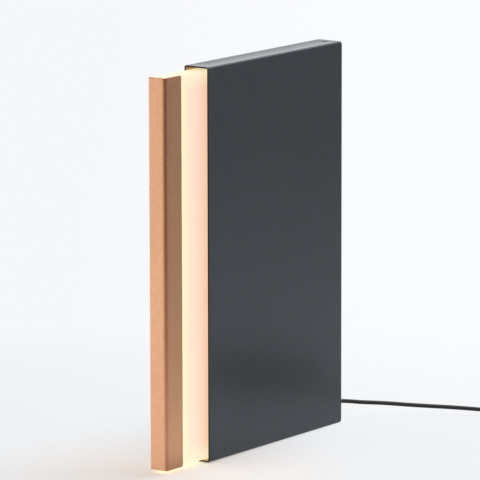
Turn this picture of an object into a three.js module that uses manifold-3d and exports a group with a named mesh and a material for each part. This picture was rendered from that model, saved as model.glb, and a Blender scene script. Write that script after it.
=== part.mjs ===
// A slim table lamp shaped like a book in a slipcase. The glowing book block slides out of a
// folded sheet sleeve on two guide rods, and a sprung switch behind it turns the light off
// when the block is pushed home. Millimetres, +Z up, the mouth of the sleeve towards -Y.
// The origin is on the table, below the middle of the lamp without its cord.
import * as THREE from 'three';
import { mergeVertices } from 'three/addons/utils/BufferGeometryUtils.js';
import Module from 'manifold-3d';

const wasm = await Module();
wasm.setup();

// Sleeve
const sleeveWidth = 19.2;
const sleeveDepth = 150;
const sleeveHeight = 260;
const sheetThickness = 1;
const longEdgeRadius = 2.2;
const backCornerRadius = 3;

// Foot pad under the sleeve
const padThickness = 0.5;
const padSideInset = 2.5;
const padFrontInset = 5;
const padBackInset = 10;
const padCornerRadius = 4;

// Book block: how far its spine stays out of the mouth when it is pushed home, and its pieces
const spineProud = 3.7;
const bookSideGap = 1.85;
const bookFloorGap = 0.8;
const bookTopGap = 1.4;
const leatherThickness = 1.3;
const leatherFlange = 17.6;
const leatherFoldRadius = 2.4;
const leatherInnerRadius = 0.4;
const leatherCornerRadius = 1.8;
const diffuserWall = 1.6;
const diffuserTail = 18;
const diffuserEdgeRadius = 0.7;

// Light source inside the block
const ledBarDepth = 6;
const ledBarFloor = 2.2;
const ledBarWall = 0.8;
const stripThickness = 0.8;
const stripEndInset = 12;
const ledLength = 3;
const ledHeight = 0.8;
const ledSideInset = 0.5;
const ledPitch = 10.4;
const ledSocketLength = 6;
const stayInset = 5;

// Carriage that closes the block and carries it on the rods
const plugDepth = 8;
const flangeDepth = 3.7;
const armHalfWidth = 2.5;
const armHeight = 8;
const armGap = 2;
const armFilletRadius = 3;
const footHeight = 10;
const footThickness = 3;
const bossWall = 1.4;
const bossLength = 15;
const strikerDepth = 4;
const strikerOverSwitch = 3;

// Guide rods, their bushings, stops and clips
const rodRadius = 2;
const rodInset = 18;
const rodChamfer = 0.4;
const bushingWall = 1.2;
const bushingFlange = 0.8;
const bushingLip = 0.9;
const stopRingRadius = 1;
const clipThickness = 0.8;
const clipWidth = 2.2;
const clipGrooveDepth = 0.4;
const clipMouth = 2.6;
const spacerWall = 0.8;

// Chassis inside the back of the sleeve
const chassisSideGap = 2;
const chassisBar = 3;
const chassisBackBar = 6;
const chassisFilletRadius = 4;
const lugThickness = 3;
const lugOverRod = 6;
const lugGap = 1.2;
const rodSeatDepth = 4;
const earThickness = 1.7;
const earReach = 10.7;
const earHalfHeight = 4.5;

// Circuit board and what stands on it
const boardThickness = 1.6;
const boardDepth = 18.8;
const boardBottom = 46;
const boardFrontGap = 0.7;
const boardBackGap = 1;
const boardCornerRadius = 2;
const lowerEarInset = 6;
const upperEarInset = 8;
const upperEarGap = 2.9;
const switchInset = 2.6;
const switchLength = 12.8;
const switchDepth = 6.5;
const switchWidth = 5.8;
const plungerRadius = 0.8;
const plungerReach = 1.2;
const plungerTravel = 0.8;
const plungerTail = 2;
const connectorGap = 10.6;
const connectorLength = 10;
const connectorDepth = 9;
const connectorWidth = 6.4;
const capacitorGap = 11.85;
const capacitorRadius = 3.15;
const capacitorLength = 7;
const capacitorGroove = 0.3;
const socketGap = 4;
const socketLength = 6;
const socketDepth = 5;
const socketWidth = 4;
const chipGap = 4.85;
const chipLength = 6;
const chipDepth = 5;
const chipWidth = 1.6;
const inductorGap = 2.4;
const inductorRadius = 3.6;
const inductorWidth = 3;

// Screws
const screwShankRadius = 0.9;
const screwHeadRadius = 1.9;
const screwHeadHeight = 1.2;
const screwLength = 4;
const screwRecessRadius = 1;
const screwRecessDepth = 0.6;
const screwBackInset = 7.6;

// Cord, its strain relief and its adapter
const cordRadius = 1.4;
const cordUnderClip = 2.2;
const reliefNeckRadius = 3;
const reliefFlangeRadius = 4.6;
const reliefFlange = 1.2;
const reliefLength = 8;
const reliefTipRadius = 2.1;
const reliefRibs = 3;
const reliefRibDepth = 0.35;
const leadRadius = 1;
const leadX = -0.3;
const leadHeight = 75;
const clampOverClip = 2.1;
const clampLength = 5;
const turnGap = 0.5;
const coilInnerRadius = 10.7;
const coilTurns = 15.35;
const coilLayers = 4;
const tieThickness = 0.8;
const tieWidth = 5;
const tailLength = 12;
const adapterWidth = 28;
const adapterLength = 28;
const adapterHeight = 24;
const adapterEdgeRadius = 2;
const adapterCornerRadius = 4;
const adapterFace = 3;
const adapterFaceInset = 1;
const pinRadius = 2;
const pinLength = 18;
const pinSpacing = 19;
const pinTipRadius = 1.2;

// Clearances, and how far a cut runs past the surface that it opens
const seatGap = 0.1;
const fitGap = 0.3;
const runGap = 0.3;
const overrun = 1;

// Facet counts
const roundSides = 16;
const screwSides = 12;
const filletSteps = 4;
const edgeSteps = 2;
const cordSides = 8;
const coilSides = 6;
const coilSteps = 24;

// Travel of the block: half of what the sleeve's depth leaves, once the block's tail, the stops,
// the boss and the switch on its board have their places one behind the other
const behindBlock = sleeveDepth - sheetThickness - fitGap - chassisBackBar - boardBackGap - boardDepth
  + boardFrontGap - diffuserTail - fitGap - flangeDepth;
const alongRod = lugGap + lugThickness + seatGap + 2 * stopRingRadius + runGap + bushingFlange + seatGap
  + bossLength + runGap + plungerReach;
const travel = (behindBlock - alongRod) / 2;
const bookPull = travel + spineProud;

// Planes of the sleeve and of the room inside it
const yMouth = (bookPull - sleeveDepth) / 2;
const yBack = yMouth + sleeveDepth;
const yBackIn = yBack - sheetThickness;
const zBottom = padThickness;
const zTop = zBottom + sleeveHeight;
const zFloorIn = zBottom + sheetThickness;
const zCeilIn = zTop - sheetThickness;
const innerHalf = sleeveWidth / 2 - sheetThickness;

// Planes of the book block
const ySpine = yMouth - bookPull;
const zBook = [zFloorIn + bookFloorGap, zCeilIn - bookTopGap];
const leatherHalf = innerHalf - bookSideGap;
const diffuserHalf = leatherHalf - leatherThickness - seatGap;
const yDiffuser = [ySpine + leatherThickness + seatGap, yMouth + diffuserTail];
const cavityHalf = diffuserHalf - diffuserWall;
const yCavity = yDiffuser[0] + diffuserWall;
const zCavity = [zBook[0] + diffuserWall, zBook[1] - diffuserWall];
const yFlange = [yDiffuser[1] + fitGap, yDiffuser[1] + fitGap + flangeDepth];

// Planes of the chassis, the rods and the bosses that slide on them
const chassisHalf = innerHalf - chassisSideGap;
const yLug = [yFlange[1] + travel + lugGap, yFlange[1] + travel + lugGap + lugThickness];
const yChassisBack = yBackIn - fitGap;
const yBar = yChassisBack - chassisBackBar;
const zChassis = [zFloorIn + fitGap, zCeilIn - fitGap];
const zRods = [zFloorIn + rodInset, zCeilIn - rodInset];
const bushingRadius = rodRadius + runGap + bushingWall;
const bossRadius = bushingRadius + seatGap + bossWall;
const yStop = yLug[1] + seatGap + 2 * stopRingRadius + runGap;
const yBoss = [yStop + bushingFlange + seatGap, yStop + bushingFlange + seatGap + bossLength];
const yClip = yBar - fitGap - clipThickness;
const clipRadius = rodRadius - clipGrooveDepth + seatGap + clipWidth;
const cordHeight = zRods[0] - clipRadius - cordUnderClip - cordRadius;
const clampHeight = zRods[0] + clipRadius + clampOverClip + clampLength / 2;
const ySpacer = [yBoss[1] + travel + runGap, yClip - seatGap];

// Planes of the circuit board
const boardX = [-chassisHalf + earThickness + fitGap, -chassisHalf + earThickness + fitGap + boardThickness];
const onBoard = boardX[1] + seatGap;
const yBoard = [yBar - boardBackGap - boardDepth, yBar - boardBackGap];
const ySwitch = yBoard[0] + boardFrontGap;
const ySocket = yBoard[0] + seatGap;
const yEarScrew = yBar - earReach + earHalfHeight;
const connectorX = onBoard + connectorWidth / 2;
const yConnector = yBoard[1] - connectorDepth / 2 - boardCornerRadius;
const plungerX = onBoard + switchWidth / 2;

// Heights on the circuit board, one thing above the other
const lowerEarHeight = boardBottom + lowerEarInset;
const switchHeight = boardBottom + switchInset + switchLength / 2;
const connectorHeight = switchHeight + switchLength / 2 + connectorGap + connectorLength / 2;
const capacitorHeight = connectorHeight + connectorLength / 2 + capacitorGap + capacitorRadius;
const chipHeight = capacitorHeight + capacitorRadius + chipGap + chipLength / 2;
const socketHeight = chipHeight + chipLength / 2 + socketGap + socketLength / 2;
const inductorHeight = socketHeight + socketLength / 2 + inductorGap + inductorRadius;
const upperEarHeight = inductorHeight + inductorRadius + upperEarGap + earHalfHeight;
const boardTop = upperEarHeight + upperEarInset;

// Materials, with the colours that the pieces have
function finish(color, roughness, metalness = 0, extra = {}) {
  return new THREE.MeshStandardMaterial({ color, roughness, metalness, ...extra });
}

const sleevePaint = finish(0x3d4043, 0.55, 0.1);
const tanLeather = finish(0xd9a27a, 0.6);
const opal = finish(0xffe7cc, 0.4, 0, { emissive: 0xffd9a8, emissiveIntensity: 0.9 });
const blackRubber = finish(0x1c1c1d, 0.8);
const cordJacket = finish(0x2b2928, 0.5);
const aluminium = finish(0xb9bcc0, 0.35, 0.9);
const polishedSteel = finish(0xc8cacc, 0.2, 1);
const blackSteel = finish(0x222326, 0.4, 0.8);
const whitePlastic = finish(0xf0efea, 0.5);
const blackPlastic = finish(0x26272a, 0.45);
const bronze = finish(0xb08a55, 0.4, 0.9);
const boardGreen = finish(0x1f5a3c, 0.5);
const ledWhite = finish(0xf7f2d8, 0.4, 0, { emissive: 0xffe2a8, emissiveIntensity: 1 });

// Directions, and the turn that lays a flat outline square to each of them:
// across 'x' an outline reads (y, z), across 'y' it reads (z, x), across 'z' it reads (x, y)
const xAxis = new THREE.Vector3(1, 0, 0);
const yAxis = new THREE.Vector3(0, 1, 0);
const zAxis = new THREE.Vector3(0, 0, 1);
const turns = {
  x: new THREE.Matrix4().makeBasis(yAxis, zAxis, xAxis),
  y: new THREE.Matrix4().makeBasis(zAxis, xAxis, yAxis),
  z: new THREE.Matrix4(),
};

// A closed outline through corners given as [u, v, radius], each rounded by its radius
function outline(corners) {
  const points = corners.flatMap(([u, v, radius = 0], i) => {
    const here = new THREE.Vector2(u, v);
    if (radius === 0) return [here];
    const [beforeU, beforeV] = corners.at(i - 1);
    const [afterU, afterV] = corners[(i + 1) % corners.length];
    const toBefore = new THREE.Vector2(beforeU, beforeV).sub(here);
    const toAfter = new THREE.Vector2(afterU, afterV).sub(here);
    const half = toBefore.angleTo(toAfter) / 2;
    const reach = Math.min(radius / Math.tan(half), toBefore.length() / 2, toAfter.length() / 2);
    const round = reach * Math.tan(half);
    const side = Math.sign(toAfter.cross(toBefore));
    const middle = toBefore.normalize().add(toAfter.normalize()).normalize();
    const centre = here.clone().addScaledVector(middle, round / Math.sin(half));
    const sweep = side * (Math.PI - 2 * half);
    const from = middle.angle() + Math.PI - sweep / 2;
    return Array.from({ length: filletSteps + 1 }, (_, k) => {
      const angle = from + sweep * k / filletSteps;
      return new THREE.Vector2(centre.x + round * Math.cos(angle), centre.y + round * Math.sin(angle));
    });
  });
  return new THREE.Shape(points);
}

function rectangle([u0, u1], [v0, v1], radius = 0) {
  return outline([[u0, v0, radius], [u1, v0, radius], [u1, v1, radius], [u0, v1, radius]]);
}

// A flat outline made thick along one direction
function slab(across, shape, [from, to]) {
  const options = { depth: to - from, bevelEnabled: false };
  return new THREE.ExtrudeGeometry(shape, options).translate(0, 0, from).applyMatrix4(turns[across]);
}

// The same with all its edges rounded
function cushioned(across, shape, [from, to], edge) {
  const options = {
    depth: to - from - 2 * edge,
    bevelThickness: edge, bevelSize: edge, bevelOffset: -edge, bevelSegments: edgeSteps,
  };
  return new THREE.ExtrudeGeometry(shape, options).translate(0, 0, from + edge).applyMatrix4(turns[across]);
}

// A round bar along one direction, about a centre given in the two others
function bar(across, [u, v], [from, to], radius, endRadius = radius) {
  const turned = new THREE.CylinderGeometry(endRadius, radius, to - from, roundSides);
  turned.rotateX(Math.PI / 2).translate(u, v, (from + to) / 2);
  return turned.applyMatrix4(turns[across]);
}

// A profile of [radius, height] points turned about the Y axis
function turned(profile, sides = roundSides) {
  return new THREE.LatheGeometry(profile.map(([radius, height]) => new THREE.Vector2(radius, height)), sides);
}

// A hollow turned piece, its profile running up the outside and down the bore
function turnedTube(outer, bore) {
  return turned([...outer, [bore, outer.at(-1)[1]], [bore, outer[0][1]], outer[0]]);
}

// A round cable along a smooth curve through points
function cable(points, radius, stepLength, sides = cordSides) {
  const path = new THREE.CatmullRomCurve3(points.map((point) => new THREE.Vector3(...point)));
  const section = new THREE.Shape(Array.from({ length: sides }, (_, k) => {
    const angle = 2 * Math.PI * k / sides;
    return new THREE.Vector2(radius * Math.cos(angle), radius * Math.sin(angle));
  }));
  const steps = Math.round(path.getLength() / stepLength);
  return new THREE.ExtrudeGeometry(section, { extrudePath: path, steps });
}

// A geometry as a solid for joining and cutting, and back
function solid(shape) {
  if (shape instanceof wasm.Manifold) return shape;
  const bare = shape.clone();
  bare.deleteAttribute('normal');
  bare.deleteAttribute('uv');
  const welded = mergeVertices(bare);
  const vertProperties = new Float32Array(welded.attributes.position.array);
  const triVerts = new Uint32Array(welded.index.array);
  return new wasm.Manifold(new wasm.Mesh({ numProp: 3, vertProperties, triVerts }));
}

function joined(first, ...others) {
  return others.reduce((whole, shape) => whole.add(solid(shape)), solid(first));
}

function carved(first, ...cuts) {
  return cuts.reduce((whole, shape) => whole.subtract(solid(shape)), solid(first));
}

function geometryOf(shape) {
  if (!(shape instanceof wasm.Manifold)) return shape;
  const { vertProperties, triVerts } = shape.getMesh();
  const geometry = new THREE.BufferGeometry();
  geometry.setAttribute('position', new THREE.BufferAttribute(vertProperties, 3));
  geometry.setIndex(new THREE.BufferAttribute(triVerts, 1));
  geometry.computeVertexNormals();
  return geometry;
}

function piece(parent, name, shape, material, place = [0, 0, 0]) {
  const mesh = new THREE.Mesh(geometryOf(shape), material);
  mesh.name = name;
  mesh.position.set(...place);
  parent.add(mesh);
  return mesh;
}

// Screws, drawn along Y with the head's top at zero and the shank towards -Y
const flatHead = turned([
  [0, -screwHeadHeight - screwLength],
  [screwShankRadius, -screwHeadHeight - screwLength + screwRecessDepth],
  [screwShankRadius, -(screwHeadRadius - screwShankRadius)],
  [screwHeadRadius, 0],
  [screwRecessRadius, 0],
  [screwRecessRadius, -screwRecessDepth],
  [0, -screwRecessDepth],
], screwSides);
const panHead = turned([
  [0, -screwHeadHeight - screwLength],
  [screwShankRadius, -screwHeadHeight - screwLength + screwRecessDepth],
  [screwShankRadius, -screwHeadHeight],
  [screwHeadRadius, -screwHeadHeight],
  [screwHeadRadius, -screwRecessDepth],
  [screwHeadRadius - screwRecessDepth, 0],
  [screwRecessRadius, 0],
  [screwRecessRadius, -screwRecessDepth],
  [0, -screwRecessDepth],
], screwSides);
const screwBore = screwShankRadius + seatGap;

// Sleeve: a sheet folded round the long edges, closed at the back and open at the mouth
function sideOutline(inset, front) {
  const y1 = yBack - inset;
  const round = backCornerRadius - inset;
  return outline([
    [front, zBottom + inset], [y1, zBottom + inset, round], [y1, zTop - inset, round], [front, zTop - inset],
  ]);
}

const topScrewY = yBack - screwBackInset;
const frontScrewY = (yLug[0] + yLug[1]) / 2 + lugThickness;

function sleeveShell() {
  const pastMouth = yMouth - longEdgeRadius - overrun;
  const outerHalf = sleeveWidth / 2;
  const innerEdge = longEdgeRadius - sheetThickness;
  const skin = cushioned('x', sideOutline(0, pastMouth), [-outerHalf, outerHalf], longEdgeRadius);
  const room = cushioned('x', sideOutline(sheetThickness, pastMouth - overrun), [-innerHalf, innerHalf],
    innerEdge);
  const beforeMouth = slab('z', rectangle([-sleeveWidth, sleeveWidth], [pastMouth - sleeveDepth, yMouth]),
    [zBottom - overrun, zTop + overrun]);
  const sink = screwHeadRadius + 2 * seatGap;
  const sinkFoot = sink - sheetThickness;
  const bores = [[topScrewY, zCeilIn], [topScrewY, zFloorIn], [frontScrewY, zFloorIn]].map(([y, z]) =>
    bar('z', [0, y], [z - sheetThickness / 2, z + sheetThickness / 2], screwBore));
  return carved(skin, room, beforeMouth, ...bores,
    bar('y', [cordHeight, 0], [yBackIn - overrun, yBack + overrun], reliefNeckRadius + fitGap),
    bar('z', [0, topScrewY], [zCeilIn, zTop], sinkFoot, sink),
    bar('z', [0, topScrewY], [zBottom, zFloorIn], sink, sinkFoot),
    bar('z', [0, frontScrewY], [zBottom, zFloorIn], sink, sinkFoot));
}

function basePad() {
  const half = sleeveWidth / 2 - padSideInset;
  const span = [yMouth + padFrontInset, yBack - padBackInset];
  const pad = slab('z', rectangle([-half, half], span, padCornerRadius), [0, padThickness]);
  const accessHole = bar('z', [0, frontScrewY], [-overrun, padThickness + overrun], screwHeadRadius + fitGap);
  return carved(pad, accessHole);
}

// Chassis: a C-shaped frame that fills the back of the sleeve and holds the rods
function chassisOutline() {
  const [z0, z1] = zChassis;
  const backRound = backCornerRadius - sheetThickness;
  const lugTop = zRods[0] + lugOverRod;
  const lugFoot = zRods[1] - lugOverRod;
  return outline([
    [yLug[0], z0], [yChassisBack, z0, backRound], [yChassisBack, z1, backRound], [yLug[0], z1],
    [yLug[0], lugFoot, lugThickness / 2], [yLug[1], lugFoot, lugThickness / 2],
    [yLug[1], z1 - chassisBar, chassisFilletRadius], [yBar, z1 - chassisBar, chassisFilletRadius],
    [yBar, z0 + chassisBar, chassisFilletRadius], [yLug[1], z0 + chassisBar, chassisFilletRadius],
    [yLug[1], lugTop, lugThickness / 2], [yLug[0], lugTop, lugThickness / 2],
  ]);
}

function boardEar(height) {
  const side = [-chassisHalf, -chassisHalf + earThickness];
  const tip = yBar - earReach;
  const [low, high] = [height - earHalfHeight, height + earHalfHeight];
  return slab('x', outline([
    [yBar + overrun, low], [yBar + overrun, high], [tip, high, earHalfHeight], [tip, low, earHalfHeight],
  ]), side);
}

function chassis() {
  const frame = slab('x', chassisOutline(), [-chassisHalf, chassisHalf]);
  const withEars = joined(frame, boardEar(lowerEarHeight), boardEar(upperEarHeight));
  const rodHoles = zRods.flatMap((z) => [
    bar('y', [z, 0], [yLug[0] - overrun, yLug[1] + overrun], rodRadius + seatGap),
    bar('y', [z, 0], [yBar - overrun, yBar + rodSeatDepth], rodRadius + seatGap),
  ]);
  const screwEnd = screwHeadHeight + screwLength + fitGap;
  const screwHoles = [
    bar('z', [0, topScrewY], [zTop - screwEnd, zTop], screwBore),
    bar('z', [0, topScrewY], [zBottom, zBottom + screwEnd], screwBore),
    bar('z', [0, frontScrewY], [zBottom, zBottom + screwEnd], screwBore),
  ];
  const earHoles = [lowerEarHeight, upperEarHeight].map((z) =>
    bar('x', [yEarScrew, z], [-chassisHalf - overrun, -chassisHalf + earThickness + overrun], screwBore));
  const reliefRoom = bar('y', [cordHeight, 0], [yChassisBack - reliefFlange - fitGap, yChassisBack + overrun],
    reliefFlangeRadius + fitGap);
  const cordHole = bar('y', [cordHeight, 0], [yBar - overrun, yChassisBack], cordRadius + fitGap);
  return carved(withEars, ...rodHoles, ...screwHoles, ...earHoles, reliefRoom, cordHole);
}

// Guide rod: chamfered at both ends, with the clip's groove near the back
const rodLength = yBar + rodSeatDepth - fitGap - yLug[0] - seatGap;

function guideRod() {
  const groove = yClip - yLug[0] - seatGap;
  const grooveRadius = rodRadius - clipGrooveDepth;
  return turned([
    [0, 0], [rodRadius - rodChamfer, 0], [rodRadius, rodChamfer],
    [rodRadius, groove - seatGap], [grooveRadius, groove - seatGap],
    [grooveRadius, groove + clipThickness + seatGap], [rodRadius, groove + clipThickness + seatGap],
    [rodRadius, rodLength - rodChamfer], [rodRadius - rodChamfer, rodLength], [0, rodLength],
  ]);
}

// Clip: an open ring that snaps into the groove of the rod
function rodClip(height) {
  const bore = rodRadius - clipGrooveDepth + seatGap;
  const through = [yClip - overrun, yClip + clipThickness + overrun];
  const ring = bar('y', [height, 0], [yClip, yClip + clipThickness], clipRadius);
  const mouth = rectangle([height, height + clipRadius + overrun], [-clipMouth / 2, clipMouth / 2]);
  return carved(ring, bar('y', [height, 0], through, bore), slab('y', mouth, through));
}

function spacer() {
  const outer = rodRadius + runGap + spacerWall;
  const length = ySpacer[1] - ySpacer[0];
  return turnedTube([[outer - rodChamfer, 0], [outer, rodChamfer], [outer, length - rodChamfer],
    [outer - rodChamfer, length]], rodRadius + runGap);
}

function stopRing() {
  const middle = rodRadius + seatGap + stopRingRadius;
  return new THREE.TorusGeometry(middle, stopRingRadius, cordSides, roundSides).rotateX(Math.PI / 2);
}

// Circuit board with its flat parts, and the tall parts that are pieces of their own
function circuitBoard() {
  const sheet = rectangle(yBoard, [boardBottom, boardTop], boardCornerRadius);
  const board = slab('x', sheet, boardX);
  const middle = (yBoard[0] + yBoard[1]) / 2;
  const foot = boardX[0] + seatGap;
  const chip = slab('x', rectangle([middle - chipDepth / 2, middle + chipDepth / 2],
    [chipHeight - chipLength / 2, chipHeight + chipLength / 2]), [foot, boardX[1] + chipWidth]);
  const inductor = bar('x', [middle, inductorHeight], [foot, boardX[1] + inductorWidth], inductorRadius);
  const holes = [lowerEarHeight, upperEarHeight].map((z) =>
    bar('x', [yEarScrew, z], [boardX[0] - overrun, boardX[1] + overrun], screwBore));
  return carved(joined(board, chip, inductor), ...holes);
}

function capacitor() {
  const neck = capacitorRadius - capacitorGroove;
  return turned([
    [0, 0], [neck, 0], [capacitorRadius, capacitorGroove], [capacitorRadius, capacitorRadius / 2],
    [neck, capacitorRadius / 2 + capacitorGroove],
    [capacitorRadius, capacitorRadius / 2 + 2 * capacitorGroove],
    [capacitorRadius, capacitorLength - capacitorGroove], [neck, capacitorLength], [0, capacitorLength],
  ]);
}

function boardBlock(depth, height, length, width, edge) {
  const shape = rectangle(depth, [height - length / 2, height + length / 2]);
  return cushioned('x', shape, [onBoard, onBoard + width], edge);
}

function switchBody() {
  const body = boardBlock([ySwitch, ySwitch + switchDepth], switchHeight, switchLength, switchWidth, seatGap);
  const wellEnd = ySwitch + plungerTail + plungerTravel + fitGap;
  const well = bar('y', [switchHeight, plungerX], [ySwitch - overrun, wellEnd], plungerRadius + runGap);
  return carved(body, well);
}

function switchPlunger() {
  const length = plungerReach + plungerTail;
  const crown = plungerRadius / 2;
  return turned([[0, 0], [crown, 0], [plungerRadius, crown], [plungerRadius, length], [0, length]]);
}

// Cord inside the lamp, from the strain relief past the lower rod up to its connector
const yReliefIn = yBackIn - fitGap - reliefFlange;
const innerCordX = rodRadius + runGap + spacerWall + cordRadius + fitGap;
const innerCordEnd = connectorHeight - connectorLength / 2 - fitGap;

function innerCord() {
  const bend = 3 * cordRadius;
  return cable([
    [0, yReliefIn - fitGap, cordHeight], [0, yBar, cordHeight], [0, yBar - cordRadius, cordHeight],
    [innerCordX / 4, yBar - bend * 2 / 3, cordHeight],
    [innerCordX * 3 / 4, yBar - bend, cordHeight + bend / 4],
    [innerCordX, yConnector, cordHeight + 2 * bend],
    [innerCordX, yConnector, clampHeight],
    [innerCordX, yConnector, clampHeight + 2 * clampLength],
    [(innerCordX + connectorX) / 2, yConnector, (clampHeight + 2 * clampLength + innerCordEnd) / 2],
    [connectorX, yConnector, innerCordEnd - bend], [connectorX, yConnector, innerCordEnd],
  ], cordRadius, 2 * cordRadius);
}

// Saddle that holds the inner cord to the chassis, as wide as the room beside the cord lets it be
function cordClamp() {
  const bore = cordRadius + fitGap;
  const wall = innerHalf - fitGap - innerCordX - bore;
  const half = bore + wall;
  const shape = outline([
    [innerCordX - half, yBar - fitGap], [innerCordX - half, yConnector - half, half],
    [innerCordX + half, yConnector - half, half], [innerCordX + half, yBar - fitGap],
  ]);
  const saddle = slab('z', shape, [clampHeight - clampLength / 2, clampHeight + clampLength / 2]);
  return carved(saddle, bar('z', [innerCordX, yConnector],
    [clampHeight - clampLength, clampHeight + clampLength], bore));
}

// Leather spine: a hide strip folded round the front of the block, its back corners cut round
function leatherSpine() {
  const inner = leatherHalf - leatherThickness;
  const back = ySpine + leatherFlange;
  const floor = ySpine + leatherThickness;
  const section = outline([
    [-leatherHalf, ySpine, leatherFoldRadius], [leatherHalf, ySpine, leatherFoldRadius],
    [leatherHalf, back], [inner, back], [inner, floor, leatherInnerRadius],
    [-inner, floor, leatherInnerRadius], [-inner, back], [-leatherHalf, back],
  ]);
  const side = outline([
    [ySpine - overrun, zBook[0]], [back, zBook[0], leatherCornerRadius],
    [back, zBook[1], leatherCornerRadius], [ySpine - overrun, zBook[1]],
  ]);
  const strip = solid(slab('z', section, [zBook[0] - overrun, zBook[1] + overrun]));
  return strip.intersect(solid(slab('x', side, [-leatherHalf - overrun, leatherHalf + overrun])));
}

// Diffuser: a long opal box, open where the carriage plate plugs its back
function diffuser() {
  const [front, back] = yDiffuser;
  const block = cushioned('x', rectangle([front, back + 2 * overrun], zBook), [-diffuserHalf, diffuserHalf],
    diffuserEdgeRadius);
  const room = slab('x', rectangle([yCavity, back + 2 * overrun], zCavity), [-cavityHalf, cavityHalf]);
  const behind = slab('x', rectangle([back, back + sleeveDepth], [zBook[0] - overrun, zBook[1] + overrun]),
    [-sleeveWidth, sleeveWidth]);
  return carved(block, room, behind);
}

// Light source: a channel of aluminium down the inside of the spine, with the strip in it
const ledBarHalf = cavityHalf - fitGap;
const yLedBar = yCavity + fitGap;
const yLedTip = yLedBar + ledBarDepth;
const zLedBar = [zCavity[0] + fitGap, zCavity[1] - fitGap];
const yStrip = yLedBar + ledBarFloor + seatGap;
const zStrip = [zLedBar[0] + stripEndInset, zLedBar[1] - stripEndInset];
const stripHalf = ledBarHalf - ledBarWall - fitGap;
const stripLeadFoot = zStrip[0] + ledPitch / 2;

function ledBar() {
  const tip = yLedTip;
  const floor = yLedBar + ledBarFloor;
  const inner = ledBarHalf - ledBarWall;
  return slab('z', outline([
    [-ledBarHalf, yLedBar, ledBarWall], [ledBarHalf, yLedBar, ledBarWall], [ledBarHalf, tip], [inner, tip],
    [inner, floor], [-inner, floor], [-inner, tip], [-ledBarHalf, tip],
  ]), zLedBar);
}

function ledStrip() {
  const strip = slab('z', rectangle([-stripHalf, stripHalf], [yStrip, yStrip + stripThickness]), zStrip);
  const count = Math.floor((zStrip[1] - zStrip[0] - 2 * ledPitch) / ledPitch);
  const first = (zStrip[0] + zStrip[1] - (count - 1) * ledPitch) / 2;
  const half = stripHalf - ledSideInset;
  const leds = Array.from({ length: count }, (_, i) => {
    const z = first + i * ledPitch;
    return slab('z', rectangle([-half, half], [yStrip + seatGap, yStrip + stripThickness + ledHeight]),
      [z - ledLength / 2, z + ledLength / 2]);
  });
  const ledSocket = slab('z', rectangle([-half, half], [yStrip + seatGap, yLedTip]),
    [stripLeadFoot - ledSocketLength / 2, stripLeadFoot + ledSocketLength / 2]);
  return joined(strip, ...leds, ledSocket);
}

// Stay that presses on the lips of the bar and ties it to the carriage plate
const yPlug = yDiffuser[1] - plugDepth;
const yStay = [yLedTip + seatGap, yPlug - fitGap];
const stayRadius = ledBarHalf - ledBarWall / 2;

function stayRod() {
  const length = yStay[1] - yStay[0];
  const waist = stayRadius / 2;
  return turned([
    [0, 0], [stayRadius, 0], [stayRadius, waist], [waist, 2 * waist], [waist, length - 2 * waist],
    [stayRadius, length - waist], [stayRadius, length], [0, length],
  ]);
}

// Carriage plate: plugs the diffuser's back and carries the two arms
const zFeet = [zRods[0] + lugOverRod + armGap + armHeight + footHeight / 2,
  zRods[1] - lugOverRod - armGap - armHeight - footHeight / 2];

function carriagePlate() {
  const plug = slab('x', rectangle([yPlug, yFlange[0] + seatGap],
    [zCavity[0] + fitGap, zCavity[1] - fitGap], diffuserWall), [-cavityHalf + fitGap, cavityHalf - fitGap]);
  const flange = slab('x', rectangle(yFlange, zBook, diffuserWall), [-diffuserHalf, diffuserHalf]);
  const screwHoles = zFeet.map((z) =>
    bar('y', [z, 0], [yFlange[1] + footThickness - screwLength, yFlange[1] + overrun], screwBore));
  const through = [yPlug - overrun, yFlange[1] + overrun];
  const leadHole = bar('y', [leadHeight, leadX], through, leadRadius + fitGap);
  return carved(joined(plug, flange), ...screwHoles, leadHole);
}

// Slide arm: a foot on the plate, an arm that clears the chassis lug, and a boss round the rod.
// The lower arm also carries the striker that works the switch. up is 1 below and -1 above.
function slideArm(rodZ, up, withStriker) {
  const near = rodZ + up * (lugOverRod + armGap);
  const far = near + up * armHeight;
  const footEnd = far + up * footHeight;
  const footFront = yFlange[1] + seatGap;
  const footBack = footFront + footThickness;
  const strikerTop = switchHeight + strikerOverSwitch;
  const striker = withStriker
    ? [[yBoss[1], strikerTop, seatGap], [yBoss[1] - strikerDepth, strikerTop, strikerDepth / 2],
      [yBoss[1] - strikerDepth, far, armFilletRadius]]
    : [[yBoss[1], far, armFilletRadius]];
  const web = slab('x', outline([
    [footFront, near, armFilletRadius], [yBoss[0], near], [yBoss[0], rodZ], [yBoss[1], rodZ], ...striker,
    [footBack, far, armFilletRadius], [footBack, footEnd, footThickness / 2], [footFront, footEnd],
  ]), [-armHalfWidth, armHalfWidth]);
  const boss = bar('y', [rodZ, 0], yBoss, bossRadius);
  const footMiddle = far + up * footHeight / 2;
  const footHole = bar('y', [footMiddle, 0], [footFront - overrun, footBack + overrun], screwBore);
  const seat = bar('y', [rodZ, 0], [yBoss[0] - overrun, yBoss[1] + overrun], bushingRadius + seatGap);
  return carved(joined(web, boss), footHole, seat);
}

function bushing() {
  const length = yBoss[1] - yStop;
  return turnedTube([
    [bushingRadius + bushingLip, 0], [bushingRadius + bushingLip, bushingFlange],
    [bushingRadius, bushingFlange], [bushingRadius, length],
  ], rodRadius + runGap);
}

// Leads of the light source: a fixed one inside the block, and a flexible one behind it
const stripLeadStart = yLedTip + fitGap;

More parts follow.
